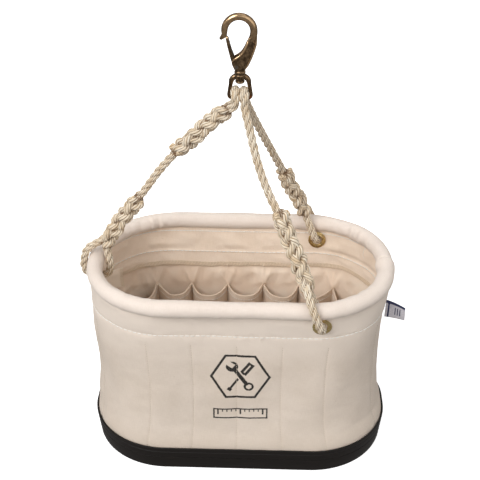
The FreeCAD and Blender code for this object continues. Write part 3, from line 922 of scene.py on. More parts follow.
def base_tray():
    """The moulded base, its profile going from the middle of the underside round to the middle of
    the floor."""
    high, thick = BASE_HEIGHT, BASE_WALL
    profile = [(30.0, 0.0), (6.0, 0.0), (2.2, 0.0), (1.0, 0.3), (0.3, 1.0), (0.0, 2.2)]
    for height, wide, deep in ((19.5, 1.3, 0.9), (28.6, 0.9, 0.5)):
        profile += [(0.0, height - wide), (0.05, height - wide / 2 - 0.1), (deep, height - wide / 4),
                    (deep, height + wide / 4), (0.05, height + wide / 2 + 0.1), (0.0, height + wide)]
    profile += [(0.0, 33.2), (0.15, 34.2), (0.6, 34.8), (1.25, high), (1.9, 34.8), (2.35, 34.2),
                (thick, 33.2), (thick, 20.0), (thick, 8.0), (3.2, 5.6), (5.0, 4.3), (8.0, 4.0),
                (30.0, 4.0)]
    share = ring_shares(420)
    rings = []
    for inset, z in profile:
        grow = BASE_DRAFT * (z / high - 1)
        ring, out = outline(BASE_LENGTH + grow, BASE_WIDTH + grow, share, z)
        rings.append(ring - out * inset)
    Surface().loft(rings).place("base_tray_shell", PLASTIC, slot="black_plastic",
                                replaces=("base_tray",), sharp=35)


def floor_panel():
    share = ring_shares(200)
    rings = []
    top = 5.5
    for inset, z in ((40.0, 4.4), (2.6, 4.4), (2.0, 4.9), (2.6, top)):
        rings.append(wall_point(share, z, inset)[0])
    for inset in (6, 14, 24, 36, 50, 64, 78):
        ring, out = outline(WALL[0, 1], WALL[0, 2], share)
        ring = ring - out * inset
        ring[:, 2] = top + 0.35 + 0.5 * wobble(ring, 45.0, 9)
        rings.append(ring)
    Surface().loft(rings).place("canvas_floor_panel", LINING_CANVAS_BOUNCE_LIT, slot="lining_canvas",
                                replaces=("canvas_floor",))


base_tray()
floor_panel()


# Wall, facing and piping

def skin(name, levels, inset, thickness, count, material, slot, node, lift=None, drop=None, inner=None):
    """A ring of cloth that follows the wall, with round edges above and below. lift draws it in,
    drop moves it down and inner thickens its inner face."""
    share = ring_shares(count)
    levels = np.asarray(levels, float)

    def ring(level, deep, reach=0.0):
        z = np.full(count, level)
        more = np.zeros(count) if lift is None else lift(share, z)
        if inner is not None and deep == thickness:
            more = more + inner(share, z)
        fallen = 0.0 if drop is None else drop(share, z)
        found = wall_point(share, z - fallen, inset + deep, more)[0]
        found[:, 2] += reach
        return found

    rings = [ring(z, 0.0) for z in levels] + [ring(levels[-1], thickness / 2, 0.35)]
    rings += [ring(z, thickness) for z in levels[::-1]] + [ring(levels[0], thickness / 2, -0.35)]
    crown = np.zeros((len(rings), count))
    crown[:len(levels)] = 1.0
    made = Surface().loft(rings, closed=True, extra=crown)
    return made.place(name, material, slot=slot, replaces=(node,), sharp=60)


def levels_between(low, high, step, fine=()):
    """Heights with a given step, and finer near the given rows."""
    found = set(np.round(np.linspace(low, high, max(2, int((high - low) / step) + 1)), 2).tolist())
    for row in fine:
        found |= {row + d for d in (-3.2, -2.1, -1.3, -0.6, 0, 0.6, 1.3, 2.1, 3.2) if low < row + d < high}
    return sorted(found)


skin("canvas_wall_shell", levels_between(WALL_BOTTOM, WALL_TOP, 3.0, (HEM,)), 0.0, CANVAS, 900,
     WALL_CANVAS, "canvas", "canvas_wall", inner=slack)


def circle_points(share):
    """Points on a circle, for noise that runs along the rim."""
    return np.stack([np.cos(share * TAU), np.sin(share * TAU), 0 * share], -1) * 170


def facing_lift(share, z):
    """The facing's free lower edge stands off the wall a little, most towards the left."""
    free = np.clip((HEM - z) / 20.0, 0, 1) ** 1.5
    wave = 0.9 + 1.1 * np.clip(wobble(circle_points(share), 38.0, 6), -0.6, 1.2)
    left = 2.6 * bell(share, 0.845, 0.028) + 1.6 * bell(share, 0.905, 0.02)
    return free * (wave + left)


def facing_drop(share, z):
    """The facing's lower edge isn't cut level."""
    free = np.clip((HEM - 2 - z) / 18.0, 0, 1)
    round_it = circle_points(share)
    return free * (2.0 * wobble(round_it, 44.0, 8) + 0.5 * wobble(round_it, 9.0, 9))


def facing_puckers(share, z):
    """Soft folds on the facing's inner face, between its rows of stitches."""
    ring = outline(368.0, 200.0, share, z)[0]
    upper = between(206, 214, 222, 229, z)
    lower = between(186, 190, 195, 201, z) * 0.5
    slanted = np.stack([ring[..., 0] + 0.8 * z, ring[..., 1] + 0.8 * z, 1.3 * z], -1)
    folds = wobble(slanted, 30.0, 41) + 0.5 * wobble(ring, 13.0, 42)
    strong = 1.0 + 1.2 * bell(share, 0.17, 0.05) + 0.8 * bell(share, 0.83, 0.06)
    return (upper + lower) * np.clip(0.9 + 1.3 * folds, 0, 3.2) * strong


FACING_INSET = CANVAS + CLEAR
FACING_LOW = 183.0
skin("top_facing_band", levels_between(FACING_LOW, WALL_TOP, 3.0, (HEM,)), FACING_INSET, LINING, 800,
     LINING_CANVAS_BOUNCE_LIT, "lining_canvas", "top_facing", facing_lift, facing_drop, facing_puckers)


def piping_point(share, angle):
    """Points on the rolled sleeve: angle 0 is outward, a quarter turn is up."""
    centre, out = outline(RIM_LENGTH, RIM_WIDTH, share, RIM_HEIGHT)
    spoke = out * np.cos(angle)[..., None] + UP * np.sin(angle)[..., None]
    raw = centre + spoke * PIPING
    bend = np.abs(out[..., 0] * out[..., 1]) * 2
    inner = smooth(-0.2, 0.9, -np.cos(angle))
    low = smooth(0.1, 0.95, -np.sin(angle))
    folds = wobble(raw * (1.0, 1.0, 0.25), 7.5, 11) * (0.15 + 0.75 * bend * inner + 0.25 * low)
    gather = np.zeros_like(angle)
    for middle, strength in ((0.872, 1.0), (0.885, 0.7), (0.155, 0.6), (0.172, 0.8), (0.19, 0.5)):
        waves = np.sin((share - middle) * RIM_ROUND / 2.1)
        gather += strength * waves * bell(share, middle, 0.0045) * inner
    grow = 0.5 * wobble(raw, 48.0, 12) + 0.6 * folds + 0.9 * gather
    seam = (share - PIPING_SEAM) * RIM_ROUND
    grow = grow + 1.7 * between(-0.9, 0.6, 3, 24, seam) - 3.4 * bell(seam, -2.2, 1.9)
    grow = grow - 0.6 * bell(seam, 0, 5.0) * low
    return raw + spoke * grow[..., None]


def rim_piping():
    angle = np.arange(40) / 40 * TAU
    share = ring_shares(1100)
    s, a = np.meshgrid(share, angle, indexing="ij")
    # Crown marks the gap where the sleeve's ends meet, where the piping's material paints shade
    gap = bell((s - PIPING_SEAM) * RIM_ROUND, -2.2, 1.3)
    Surface().loft(piping_point(s, -a), closed=True, extra=gap).place(
        "rim_piping_sleeve", PIPING_CANVAS_PAINTED_LIT, slot="piping_canvas",
        replaces=("rim_piping", "rim_hoop"), sharp=70)


rim_piping()


# Pockets

def swell(t, skew):
    """How far a pocket stands off the wall across its width, 0 to 1."""
    t = np.clip(t, 0, 1) ** (1 + skew)
    knots = (0, 0.06, 0.14, 0.24, 0.36, 0.5, 0.64, 0.76, 0.86, 0.94, 1)
    return hermite(t, knots, (0, 0.27, 0.58, 0.83, 0.96, 1, 0.96, 0.83, 0.58, 0.27, 0))


POCKET_TOP, POCKET_BOTTOM = 151.0, 6.4
POCKET_STITCHES = 143.9     # height of the stitch row of a pocket's hem


def pocket_sheet(start, end, t, z, skew, deep, seed):
    """The middle of a pocket's cloth, and its direction into the bucket."""
    rise = (z - POCKET_BOTTOM) / (POCKET_TOP - POCKET_BOTTOM)
    bulge = (25.0 + 2.0 * rise) * deep * swell(t, skew)
    share = start + t * (end - start)
    top_sag = rise ** 6
    height = z - top_sag * (1.6 * swell(t, skew) - 1.6 * bell(t, 0, 0.05) - 1.6 * bell(t, 1, 0.05))
    inset = CANVAS + CLEAR + LINING / 2 + bulge
    base, out = wall_point(share, height, inset)
    ripple = wobble(base * (1, 1, 0.3), 17.0, seed) * 1.0 + wobble(base, 34.0, seed + 3) * 1.3
    return base - out * (ripple * np.clip(swell(t, skew), 0, 0.7))[..., None], -out


def pocket_line(start, end, t, z, skew, deep, seed):
    """A level line in the middle of a pocket's cloth, and the directions square to it."""
    line, into = pocket_sheet(start, end, t, np.full_like(t, z), skew, deep, seed)
    normal = unit(np.cross(np.gradient(line, axis=0), UP))
    return line, normal * np.sign((normal * into).sum())


def pocket(name, start, end, seed):
    """One pocket. Returns the line and the directions for the stitches of its hem."""
    gap = 0.4 / WALL_ROUND
    start, end = start + gap, end - gap
    skew = 0.10 * math.sin(seed * 2.3)
    deep = 1.0 + 0.05 * math.sin(seed * 4.1 + 1)
    t = (1 - np.cos(np.linspace(0, math.pi, 45))) / 2
    t = 0.45 * t + 0.55 * np.linspace(0, 1, 45)
    hem = [140.5, 142.4, 143.0, 143.6, 145, 147, 149, 150, 150.6, 150.85, POCKET_TOP]
    rings = []
    for z in np.concatenate([np.linspace(POCKET_BOTTOM, 138, 24), hem]):
        mid, normal = pocket_line(start, end, t, z, skew, deep, seed)
        half = LINING / 2 + 0.4 * float(smooth(142.2, 143.6, z))
        if z > 150.6:
            half *= 0.8 if z < 150.95 else 0.42
        rings.append(two_faces(mid, normal, half))
    Surface().loft(rings).place(name + "_panel", POCKET_CANVAS, slot="lining_canvas", replaces=(name,),
                                sharp=60)
    t = np.linspace(0.03, 0.97, 160)
    line, normal = pocket_line(start, end, t, POCKET_STITCHES, skew, deep, seed)
    return line + normal * (LINING / 2 + 0.42), normal


def stitch_row(made, line, normal, pitch, long, radius, sink=0.35):
    """A row of stitches along a line that lies on the cloth."""
    s = distances(line)
    count = int(s[-1] / pitch)
    t = np.linspace(0, 1, 7)
    rise = radius * (0.25 + 0.75 * np.sin(math.pi * t)) - sink * (1 - np.sin(math.pi * t)) ** 2
    for i in range(count):
        at = s[-1] * (i + 0.5) / count + (t - 0.5) * long
        place = np.stack([np.interp(at, s, line[:, k]) for k in range(3)], 1)
        out = unit(np.stack([np.interp(at, s, normal[:, k]) for k in range(3)], 1))
        made.tube(place + out * rise[:, None], radius, sides=6, round_ends=False)


pocket_rows = Surface()
seed = 20
for title, count, begin, finish in POCKET_SETS:
    for i in range(count):
        width = (finish - begin) / count
        row = pocket(f"{title}_{i + 1}", begin + i * width, begin + (i + 1) * width, seed)
        stitch_row(pocket_rows, *row, 3.4, 2.6, 0.28)
        seed += 1
pocket_rows.place("pocket_hem_stitches", THREAD, slot="lining_canvas", sharp=80)


# Stitching on the wall

def level_row(made, z, inset, sign, pitch, long, radius, lift=None, low=0.0):
    """A level row of stitches round the wall; sign is 1 outside and -1 inside."""
    share = np.linspace(low, 1.0, 1401)
    extra = 0.0 if lift is None else lift(share, z)
    line, out = wall_point(share, z, inset, extra)
    stitch_row(made, line, out * sign, pitch, long, radius)


outer_rows = Surface()
level_row(outer_rows, HEM, 0.0, 1, 6.3, 4.5, 0.62, low=0.001)
outer_rows.place("outside_hem_stitches", THREAD, slot="canvas", sharp=80)

inner_rows = Surface()
FACE = FACING_INSET + LINING
level_row(inner_rows, TOP_ROW, FACE, -1, 4.2, 3.2, 0.62)
level_row(inner_rows, HEM, FACE, -1, 5.6, 4.3, 0.55, lift=facing_lift)
inner_rows.place("inside_hem_stitches", THREAD, slot="lining_canvas", sharp=80)


def loose_thread():
    """A thread end that hangs from the row under the piping, at the right of the back."""
    line, out = wall_point(0.178, [231.0, 229.5, 225.0, 220.0, 215.5, 212.0], FACE + 0.6)
    line = line - out * np.array([0, 1.5, 2.6, 3.0, 3.3, 4.2])[:, None]
    line[:, 0] += np.array([0, -0.6, -1.6, -1.2, 0.6, 2.4])
    thread = Surface().tube(hermite_path(line), 0.3, sides=6)
    thread.place("loose_thread_end", THREAD, slot="lining_canvas")


loose_thread()


def pocket_seams():
    """The upright rows outside, where the pockets are sewn through the wall."""
    made = Surface()
    for share in SEAMS:
        z = np.linspace(12, 189, 90)
        line, out = wall_point(np.full_like(z, share), z)
        stitch_row(made, line, out, 3.6, 2.5, 0.26, sink=0.3)
    made.place("pocket_seam_stitches", SEAM_THREAD, slot="canvas", sharp=80)


pocket_seams()


def serging():
    """Overlock stitches: threads over the facing's cut edge, and two chains along it."""
    made = Surface()
    z, inset, height = FACING_LOW, FACE, 5.2
    count = int(WALL_ROUND / SERGING_PITCH)
    t = np.linspace(0, 1, 6)

    def on_facing(share, level, deep):
        return wall_point(share, level - facing_drop(share, level), deep, facing_lift(share, level))

    for i in range(count):
        share = (i + t * 0.6) / count
        level = z + height * (1 - t) - 0.35 + 0.2 * math.sin(i * 2.7)
        line, out = on_facing(share, level, inset + 0.25 * np.sin(math.pi * t))
        under = [line[-1] - UP * 0.35 + out[-1] * 0.45, line[-1] + out[-1] * LINING * 0.9]
        made.tube(np.concatenate([line, under]), 0.55, sides=5, round_ends=False)
    for level in (z + height - 0.3, z + 0.35):
        share = np.arange(count * 4 + 1) / (count * 4)
        heights = level + 0.4 * np.sin(np.arange(count * 4 + 1) * math.pi / 2)
        line, out = on_facing(share, heights, inset + 0.4)
        made.tube(line, 0.34, sides=5, round_ends=False)
    made.place("facing_edge_serging", EDGE_THREAD, slot="lining_canvas", sharp=80)


SERGING_PITCH = 2.1
serging()


# The facing's free end, the tag, eyelets

LAP_START, LAP_END = 0.764, 0.802
LAP_LOW, LAP_TALL = 181.0, 28.5


def sheet_edge(level, levels, half):
    """Half the thickness of a sheet at a level, thinner at its first and last two levels."""
    if level in (levels[0], levels[-1]):
        return half * 0.45
    return half * (0.85 if level in (levels[1], levels[-2]) else 1.0)


def facing_lap():
    """The overlapped end of the facing; it lifts off and shows its serged edge."""
    share = np.linspace(LAP_START, LAP_END, 26)
    way = (share - LAP_START) / (LAP_END - LAP_START)
    inset = FACE + CLEAR + 19.0 * way ** 1.2
    rings = []
    levels = (LAP_LOW, 181.4, 183.0, 187.0, 191.0, 195.0, 199.0, 203.0, 206.0, 208.4, 209.2, 209.5)
    edge_line = []
    for z in levels:
        tip = 1.6 * smooth(0.6, 1.0, way) * math.sin((z - LAP_LOW) / LAP_TALL * math.pi)
        mid = wall_point(share, z, inset + LINING / 2 - tip)[0]
        normal = unit(np.cross(np.gradient(mid, axis=0), UP))
        rings.append(two_faces(mid, normal, sheet_edge(z, levels, LINING / 2)))
        edge_line.append((mid[-1], unit(mid[-1] - mid[-2]), normal[-1]))
    Surface().loft(rings).place("facing_lap_flap", FLAP_CANVAS_PAINTED_LIT, slot="lining_canvas",
                                replaces=("facing_lap",), sharp=60)
    made = Surface()
    edge = np.array(edge_line).transpose(1, 0, 2)       # places, ahead, square to the cloth
    t = np.linspace(0, 1, 5)[:, None]
    for i in range(21):
        height = 182.2 + i * 1.28
        p, a, n = (np.array([np.interp(height, edge[0, :, 2], v[:, k]) for k in range(3)]) for v in edge)
        a, n = unit(a), unit(n)
        for face in (1, -1):
            line = p - a * (4.6 * (1 - t) - 0.3) + n * face * (LINING / 2 + 0.12) + UP * (0.9 * (1 - t))
            made.tube(np.concatenate([line, [p + a * 0.4]]), 0.3, sides=5, round_ends=False)
    made.place("facing_lap_serging", EDGE_THREAD, slot="lining_canvas", sharp=80)


facing_lap()


def side_tag():
    """A folded woven tag that stands out of the hem seam and droops."""
    u = np.linspace(0, 1, 60)
    upward = np.concatenate([[0, 0.015], np.linspace(0.04, 0.96, 22), [0.985, 1]])
    rings, crown = [], []
    for v in upward:
        low = np.stack([180.4 + 25.4 * u, -21.4 + 0 * u, 183 - 5.5 * u ** 1.2], -1)
        high = np.stack([181.4 + 24.4 * u, -21.4 + 0 * u, 208 - 13 * u ** 1.15], -1)
        mid = low + (high - low) * v
        mid[:, 1] += 1.1 * np.sin(u * 2.6) * (0.4 + 0.6 * v) - 0.7 * u * math.sin(v * 5.0)
        half = 0.55 + 0.35 * smooth(0.86, 1.0, u)
        half *= 0.5 if v in (0, 1) else 0.85 if v in (upward[1], upward[-2]) else 1.0
        rings.append(two_faces(mid, DEPTH, half[:, None]))
        bars = 0.8 * sum(bell(u, place, 0.035) for place in (0.5, 0.62, 0.74)) * (0.22 < v < 0.7)
        bars = np.clip(bars + smooth(0.8, 0.9, v) + bell(u, 0.16, 0.05), 0, 1)
        crown.append(np.concatenate([bars, bars[::-1]]))
    Surface().loft(rings, extra=crown).place("side_tag_cloth", TAG, slot="tag_weave",
                                             replaces=("side_tag",), sharp=70)


side_tag()

SLOPE = (WALL[6, 2] - WALL[5, 2]) / 2 / (WALL[6, 0] - WALL[5, 0])   # of the wall, under the piping
SIDE_AXIS = unit(np.array([0.045, 1.0, -SLOPE]))
EYELETS = (
    ("left", (-184.0, 0.0, 222.0), (-1.0, 0.0, 0.0)),
    ("front", (99.0, -101.7, 222.0), SIDE_AXIS * (1, -1, 1)),
    ("back", (99.0, 101.7, 222.0), SIDE_AXIS),
)


def eyelets():
    """A rolled flange outside, its barrel, and the ring it is clinched to inside."""
    flange = [(6.5, -6.3), (6.5, 0.6), (6.9, 1.35), (7.6, 1.7), (8.4, 1.55), (9.4, 1.1), (10.6, 1.0),
              (11.3, 0.85), (11.55, 0.45), (11.4, 0.2), (10.6, 0.15), (9.0, 0.3), (7.3, 0.2), (7.2, -6.3)]
    ring = [(7.2, -0.3), (7.5, -1.15), (8.4, -1.45), (9.6, -1.15), (10.7, -1.0), (11.3, -0.75),
            (11.5, -0.35), (11.2, 0.0), (9.5, 0.05), (7.7, 0.0)]
    clinch = [(6.4, 0.5), (6.35, -0.8), (6.7, -1.75), (7.4, -2.1), (8.3, -1.9), (8.7, -1.4), (8.0, -1.2),
              (7.3, -0.6), (7.1, 0.5)]
    for side, centre, axis in EYELETS:
        axis = unit(np.array(axis))
        centre = np.array(centre)
        Surface().turned(flange, centre, axis).place(
            f"eyelet_{side}_flange", BRASS, slot="brass", replaces=(f"eyelet_{side}",), sharp=45)
        inside = centre - axis * 5.2
        Surface().turned(ring, inside, axis).turned(clinch, inside, axis).place(
            f"washer_{side}_ring", BRASS, slot="brass", replaces=(f"washer_{side}",), sharp=45)


eyelets()


# Swivel eye and snap hook, in the XZ plane

def rounded_route(corners, radii):
    """A line with round corners through (x, z) points."""
    points = [np.array([x, 0.0, z], float) for x, z in corners]
    line = [points[0]]
    for i in range(1, len(points) - 1):
        back = unit(points[i - 1] - points[i])
        on = unit(points[i + 1] - points[i])
        half = (math.pi - math.acos(np.clip(np.dot(back, on), -1, 1))) / 2
        reach = radii[i - 1] * math.tan(half)
        for t in np.linspace(0, 1, 12):
            a = points[i] + back * reach * (1 - t)
            b = points[i] + on * reach * t
            line.append(a * (1 - t) + b * t)
    return resample(np.array(line + [points[-1]]), 0.6)


def swivel_eye():
    half = [(13.0, 463.5), (9.4, 486.4), (4.5, 489.6)]
    line = rounded_route([(-x, z) for x, z in half[::-1]] + half, (8.0, 4.4, 4.4, 8.0))
    top = smooth(478, 488, line[:, 2])
    made = Surface().tube(line, 2.3 + 0.9 * top, sides=20, side=DEPTH)
    made.turned([(3.55, 486.2), (3.55, 492.3), (4.2, 492.5), (5.6, 492.3), (6.4, 491.6), (6.6, 490.4),
                 (6.6, 488.4), (6.3, 487.0), (5.4, 486.2), (4.4, 486.0)], (0, 0, 0), UP)
    made.place("swivel_eye_ring", EYE_BRONZE, body="eye", slot="bronze", replaces=("swivel_eye",),
               sharp=45)


swivel_eye()

# Sections of the hook: middle x, z, half width in the plane, half thickness, squareness, and the
# direction of the width in degrees
HOOK = (
    (-17.6, 533.0, 1.3, 1.7, 2.0, 200), (-17.3, 534.2, 2.4, 2.7, 2.0, 196),
    (-17.0, 537.0, 3.0, 3.3, 2.0, 188), (-17.1, 541.5, 3.6, 3.8, 2.0, 180),
    (-15.9, 547.6, 3.9, 4.1, 2.0, 158), (-12.5, 552.9, 4.0, 4.15, 2.0, 135),
    (-7.2, 556.5, 4.15, 4.15, 2.0, 112), (-1.0, 557.7, 4.15, 4.15, 2.0, 90),
    (5.2, 556.5, 4.15, 4.15, 2.0, 68), (10.5, 552.9, 4.2, 4.15, 2.0, 45),
    (14.0, 547.6, 4.2, 4.15, 2.0, 22), (15.2, 541.5, 4.15, 4.1, 2.0, 0),
    (14.6, 536.0, 4.3, 4.0, 2.1, -6), (13.0, 530.0, 4.6, 3.7, 2.3, -12),
    (10.9, 524.5, 5.1, 3.2, 2.6, -16), (8.5, 519.0, 5.9, 2.8, 3.2, -18),
    (6.0, 514.0, 6.7, 2.55, 4.0, -16), (3.8, 509.4, 7.4, 2.45, 4.6, -12),
    (2.1, 505.0, 7.5, 2.45, 4.8, -6), (1.0, 501.4, 6.9, 2.45, 4.6, -2),
    (0.3, 498.2, 6.0, 2.6, 3.8, 0), (0.0, 496.0, 5.6, 3.2, 3.0, 0),
    (0.0, 494.6, 5.4, 4.0, 2.4, 0), (0.0, 493.8, 4.8, 4.2, 2.0, 0),
)
INNER_EDGE = (
    (-9.0, 506.8), (-6.3, 510.3), (-2.0, 513.0), (1.9, 516.4), (5.2, 521.4), (7.8, 527.3), (9.9, 534.0),
)
OUTER_EDGE = ((5.4, 497.8), (8.6, 503.6), (12.0, 511.0), (15.2, 519.4), (17.6, 527.6), (18.8, 535.0))
PIN = (-3.6, 501.5)


def hermite_line(corners):
    return hermite_path([(x, 0.0, z) for x, z in corners])


def hook_rings():
    table = np.array(HOOK)
    s = distances(table[:, :2])
    table[:, 5] = np.unwrap(np.radians(table[:, 5]))
    even = np.unique(np.concatenate([np.linspace(0, s[-1], 150), s]))
    columns = [hermite(even, s, table[:, k]) for k in range(6)]
    angle = np.arange(40) / 40 * TAU
    rings = []
    for x, z, wide, thick, power, turn in zip(*columns):
        c = np.cos(angle)
        d = np.sin(angle)
        across = wide * np.sign(c) * np.abs(c) ** (2 / power)
        over = thick * np.sign(d) * np.abs(d) ** (2 / power)
        width = np.array([math.cos(turn), 0, math.sin(turn)])
        rings.append(np.array([x, 0, z]) + across[:, None] * width + over[:, None] * DEPTH)
    return rings


def ridge(made, corners, depths, radius):
    """A ridge that stands out along both faces of the hook's flat part. Crown 1 gives it a painted
    highlight in the metal's bright colour.
    """
    for side in (1, -1):
        line = resample(hermite_line(corners), 0.8)
        line[:, 1] = side * np.interp(line[:, 2], *depths)
        from_end = np.minimum(np.arange(len(line)), np.arange(len(line))[::-1]) * 0.8
        wide = 0.3 + (radius - 0.3) * smooth(0, 8, from_end)
        rings = circles(line, wide, *carry_frames(line), 14)
        # The open gate's cheeks pass inside the lower part
        clear = np.interp(rings[..., 2], (516, 522), (4.35, 0.0))
        rings[..., 1] = side * np.maximum(side * rings[..., 1], clear)
        made.loft(rings, extra=np.ones(rings.shape[:2]))


def slab(made, corners, side, low):
    """A flat plate of the hook with soft edges, from low to the face of the hook's lower part."""
    corners = np.array(corners)
    after = np.roll(corners, -1, 0)
    ahead = after - np.roll(corners, 1, 0)
    out = unit(np.stack([ahead[:, 1], -ahead[:, 0]], -1))
    if np.sum(corners[:, 0] * after[:, 1] - after[:, 0] * corners[:, 1]) < 0:
        out = -out
    face = np.interp(corners[:, 1], (505, 535), (5.05, 3.75))
    start = np.minimum(low, face - 0.5)
    rings = []
    levels = (start, start + 0.2, face - 0.35, face - 0.12, face)
    for draw, level in zip((0.25, 0.0, 0.0, 0.15, 0.45), levels):
        flat = corners - out * draw
        rings.append(np.stack([flat[:, 0], side * level, flat[:, 1]], -1))
    made.loft(rings)


def hook_body():
    rings = np.array(hook_rings())
    # Painted highlight: the upper bow's flat faces get the bright colour and its sides stay dark, standing
    # in for the bar's reflections
    faces = np.sin(np.arange(rings.shape[1]) / rings.shape[1] * TAU) ** 2
    made = Surface().loft(rings, extra=0.72 * smooth(510, 550, rings[..., 2]) * (0.12 + 0.88 * faces))
    beak = hermite_line(((-16.8, 542.0), (-17.0, 539.0), (-18.2, 536.2), (-19.8, 534.0), (-20.6, 533.2)))
    thick = np.interp(np.linspace(0, 1, len(beak)), (0, 0.35, 0.8, 1), (3.2, 2.8, 2.5, 2.1))
    made.tube(beak, thick, sides=24)
    shell = ((-9.2, 506.4), (-6.4, 510.3), (-2.2, 513.2), (1.6, 516.6), (5.0, 521.6), (7.6, 527.5),
             (9.5, 534.0), (13.8, 534.5), (17.2, 527.0), (14.9, 519.0), (11.6, 510.6), (8.4, 503.4),
             (5.6, 498.0), (4.6, 496.2), (-4.6, 496.2), (-6.8, 499.6), (-8.6, 503.6))
    rib = ((2.4, 498.6), (2.4, 508.0), (3.4, 515.0), (6.6, 522.5), (8.8, 529.0), (10.2, 534.0),
           (13.6, 534.2), (16.8, 527.0), (14.5, 519.0), (11.2, 510.8), (8.0, 503.6), (5.4, 498.6))
    for side in (1, -1):
        slab(made, shell, side, 4.35)
        slab(made, rib, side, 1.5)
    ridge(made, INNER_EDGE, ((505, 520, 534), (5.1, 4.5, 2.9)), 1.25)
    ridge(made, OUTER_EDGE, ((498, 505, 535), (4.9, 5.2, 4.0)), 1.1)
    x, z = PIN
    lug = [(1.28, -2.5), (1.28, 2.5), (3.2, 2.5), (3.85, 2.25), (4.1, 1.7), (4.1, -1.7), (3.85, -2.25),
           (3.2, -2.5)]
    made.turned(lug, (x, 0, z), (0, 1, 0), sides=40)
    collar = [(0.05, 492.8), (5.4, 492.8), (6.2, 493.2), (6.5, 494.2), (6.3, 495.4), (5.5, 496.3),
              (4.9, 496.9), (0.05, 497.0)]
    made.turned(collar, (0, 0, 0), UP, sides=48, closed=False)
    shank = [(0.05, 481.0), (2.6, 481.05), (4.2, 481.5), (5.1, 482.4), (5.4, 483.4), (5.3, 484.2),
             (4.8, 484.6), (3.6, 484.7), (3.5, 485.2), (3.5, 493.6), (0.05, 493.8)]
    made.turned(shank, (0, 0, 0), UP, sides=48, closed=False)
    made.place("hook_casting", BRONZE, body="hook", slot="bronze", replaces=("hook_body",), sharp=45)


hook_body()


def gate_channel():
    """The gate: a folded channel with an eye on each cheek, closed up towards its tip."""
    table = np.array((
        # middle x, z, half width in the plane, half thickness, half gap
        (-4.9, 503.0, 3.2, 4.2, 2.85), (-6.6, 507.0, 2.7, 4.2, 2.85), (-8.5, 511.5, 2.2, 4.1, 2.85),
        (-10.0, 516.5, 1.95, 4.0, 2.75), (-11.9, 523.5, 1.8, 3.7, 2.2), (-13.3, 529.5, 1.7, 3.3, 0.8),
        (-14.2, 533.4, 1.5, 2.9, 0.3), (-14.6, 535.3, 0.8, 2.0, 0.1),
    ))
    s = distances(table[:, :2])
    even = np.linspace(0, s[-1], 70)
    x, z, wide, thick, gap = (hermite(even, s, table[:, k]) for k in range(5))
    gap = np.clip(gap, 0.08, None)
    line = np.stack([x, 0 * x, z], -1)
    ahead = unit(np.gradient(line, axis=0))
    outer = np.cross(DEPTH, ahead)
    outer *= np.sign(-outer[:, :1])
    rings = []
    turn = np.radians([90, 60, 30, 0])
    for p, o, w, t, g in zip(line, outer, wide, thick, gap):
        r = min(1.3, w * 0.6, t * 0.5)
        web = min(1.3, w * 0.8)
        shape = [(-w, t), (-w * 0.2, t)]
        shape += [(w - r + r * math.cos(a), t - r + r * math.sin(a)) for a in turn]
        shape += [(a, -b) for a, b in shape[::-1]]
        inner = [(-w, -g), (w - web - 0.3, -g), (w - web, -g * 0.7)]
        shape += inner + [(a, -b) for a, b in inner[::-1]]
        rings.append([p + o * a + DEPTH * b for a, b in shape])
    made = Surface().loft(rings)
    for side in (1, -1):
        eye = [(1.32, 2.85), (3.3, 2.85), (3.9, 3.0), (4.0, 3.4), (3.9, 3.95), (3.4, 4.2), (1.32, 4.2)]
        made.turned([(r, side * h) for r, h in eye], (PIN[0], 0, PIN[1]), (0, 1, 0), sides=40)
    made.place("gate_sheet_metal", BRONZE, body="gate", slot="bronze", replaces=("hook_gate",), sharp=40)


gate_channel()


def carried_over(node, material, width):
    """A CAD node that shows as it is, with softened edges and its finish."""
    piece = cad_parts[node]
    piece.data.materials.clear()
    piece.data.materials.append(material)
    soften = piece.modifiers.new("soft_edges", "BEVEL")
    soften.width = width * MM
    soften.segments = 3
    soften.limit_method = "ANGLE"
    soften.angle_limit = math.radians(35)


carried_over("gate_pin", STEEL, 0.25)
carried_over("gate_spring", STEEL, 0.08)


# Studio

FLOOR_REACH = 14.0          # metres from the middle to the floor's edges
# Wide suns stand for large soft boxes: where they come from, how wide, how strong
LIGHTS = (
    ("key", (-1.6, -2.2, 2.0), 35, 1.9),
    ("fill", (2.0, -2.3, 1.4), 60, 0.5),
    ("top", (0.0, 0.0, 3.0), 60, 0.42),
)


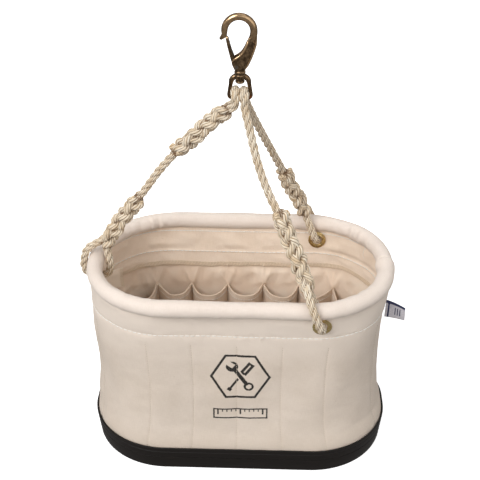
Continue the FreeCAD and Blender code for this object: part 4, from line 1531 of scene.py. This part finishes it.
def studio():
    """A pale floor that gives off a little light, three suns and a soft grey world."""
    mesh = bpy.data.meshes.new("studio_floor")
    corners = [(-FLOOR_REACH, -FLOOR_REACH, 0), (FLOOR_REACH, -FLOOR_REACH, 0),
               (FLOOR_REACH, FLOOR_REACH, 0), (-FLOOR_REACH, FLOOR_REACH, 0)]
    mesh.from_pydata(corners, [], [(0, 1, 2, 3)])
    g = Graph("studio_floor_paper")
    tone = g.noise(g.place(), 3.0, 2.0)
    colour = g.mix(g.span(tone, 0.3, 0.7), rgb(247, 247, 247), rgb(250, 250, 250))
    g.feed(g.shader.inputs["Emission Color"], colour)
    mesh.materials.append(g.finish(colour, 0.9, None, Specular_IOR_Level=0.1, Emission_Strength=0.7))
    floor = bpy.data.objects.new("studio_floor", mesh)
    floor.location = (0, 0, -0.0005)
    show(floor)
    floor.visible_diffuse = False
    floor.visible_glossy = False
    for name, place, width, power in LIGHTS:
        data = bpy.data.lights.new(name, "SUN")
        data.angle = math.radians(width)
        data.energy = power
        lamp = bpy.data.objects.new(name, data)
        lamp.location = place
        lamp.rotation_euler = (-lamp.location).to_track_quat("-Z", "Y").to_euler()
        show(lamp)
    world = bpy.data.worlds.new("studio")
    world.use_nodes = True
    nodes, links = world.node_tree.nodes, world.node_tree.links
    height = nodes.new("ShaderNodeSeparateXYZ")
    ramp = nodes.new("ShaderNodeValToRGB")
    links.new(nodes.new("ShaderNodeTexCoord").outputs["Generated"], height.inputs[0])
    links.new(height.outputs["Z"], ramp.inputs["Fac"])
    links.new(ramp.outputs["Color"], nodes["Background"].inputs["Color"])
    # What the camera sees behind the object is plain and pale
    backdrop = nodes.new("ShaderNodeBackground")
    backdrop.inputs["Color"].default_value = (0.92, 0.92, 0.92, 1)
    either = nodes.new("ShaderNodeMixShader")
    links.new(nodes.new("ShaderNodeLightPath").outputs["Is Camera Ray"], either.inputs["Fac"])
    links.new(nodes["Background"].outputs[0], either.inputs[1])
    links.new(backdrop.outputs[0], either.inputs[2])
    links.new(either.outputs[0], nodes["World Output"].inputs["Surface"])
    ramp.color_ramp.elements[0].color = (0.36, 0.35, 0.34, 1)
    ramp.color_ramp.elements[1].color = (0.6, 0.6, 0.6, 1)
    ramp.color_ramp.elements[1].position = 0.8
    middle = ramp.color_ramp.elements.new(0.18)
    middle.color = (0.85, 0.83, 0.81, 1)
    nodes["Background"].inputs["Strength"].default_value = 0.78
    bpy.context.scene.world = world
    view = bpy.context.scene.view_settings
    view.view_transform = "Standard"
    view.look = "None"
    view.exposure = 0.0


studio()
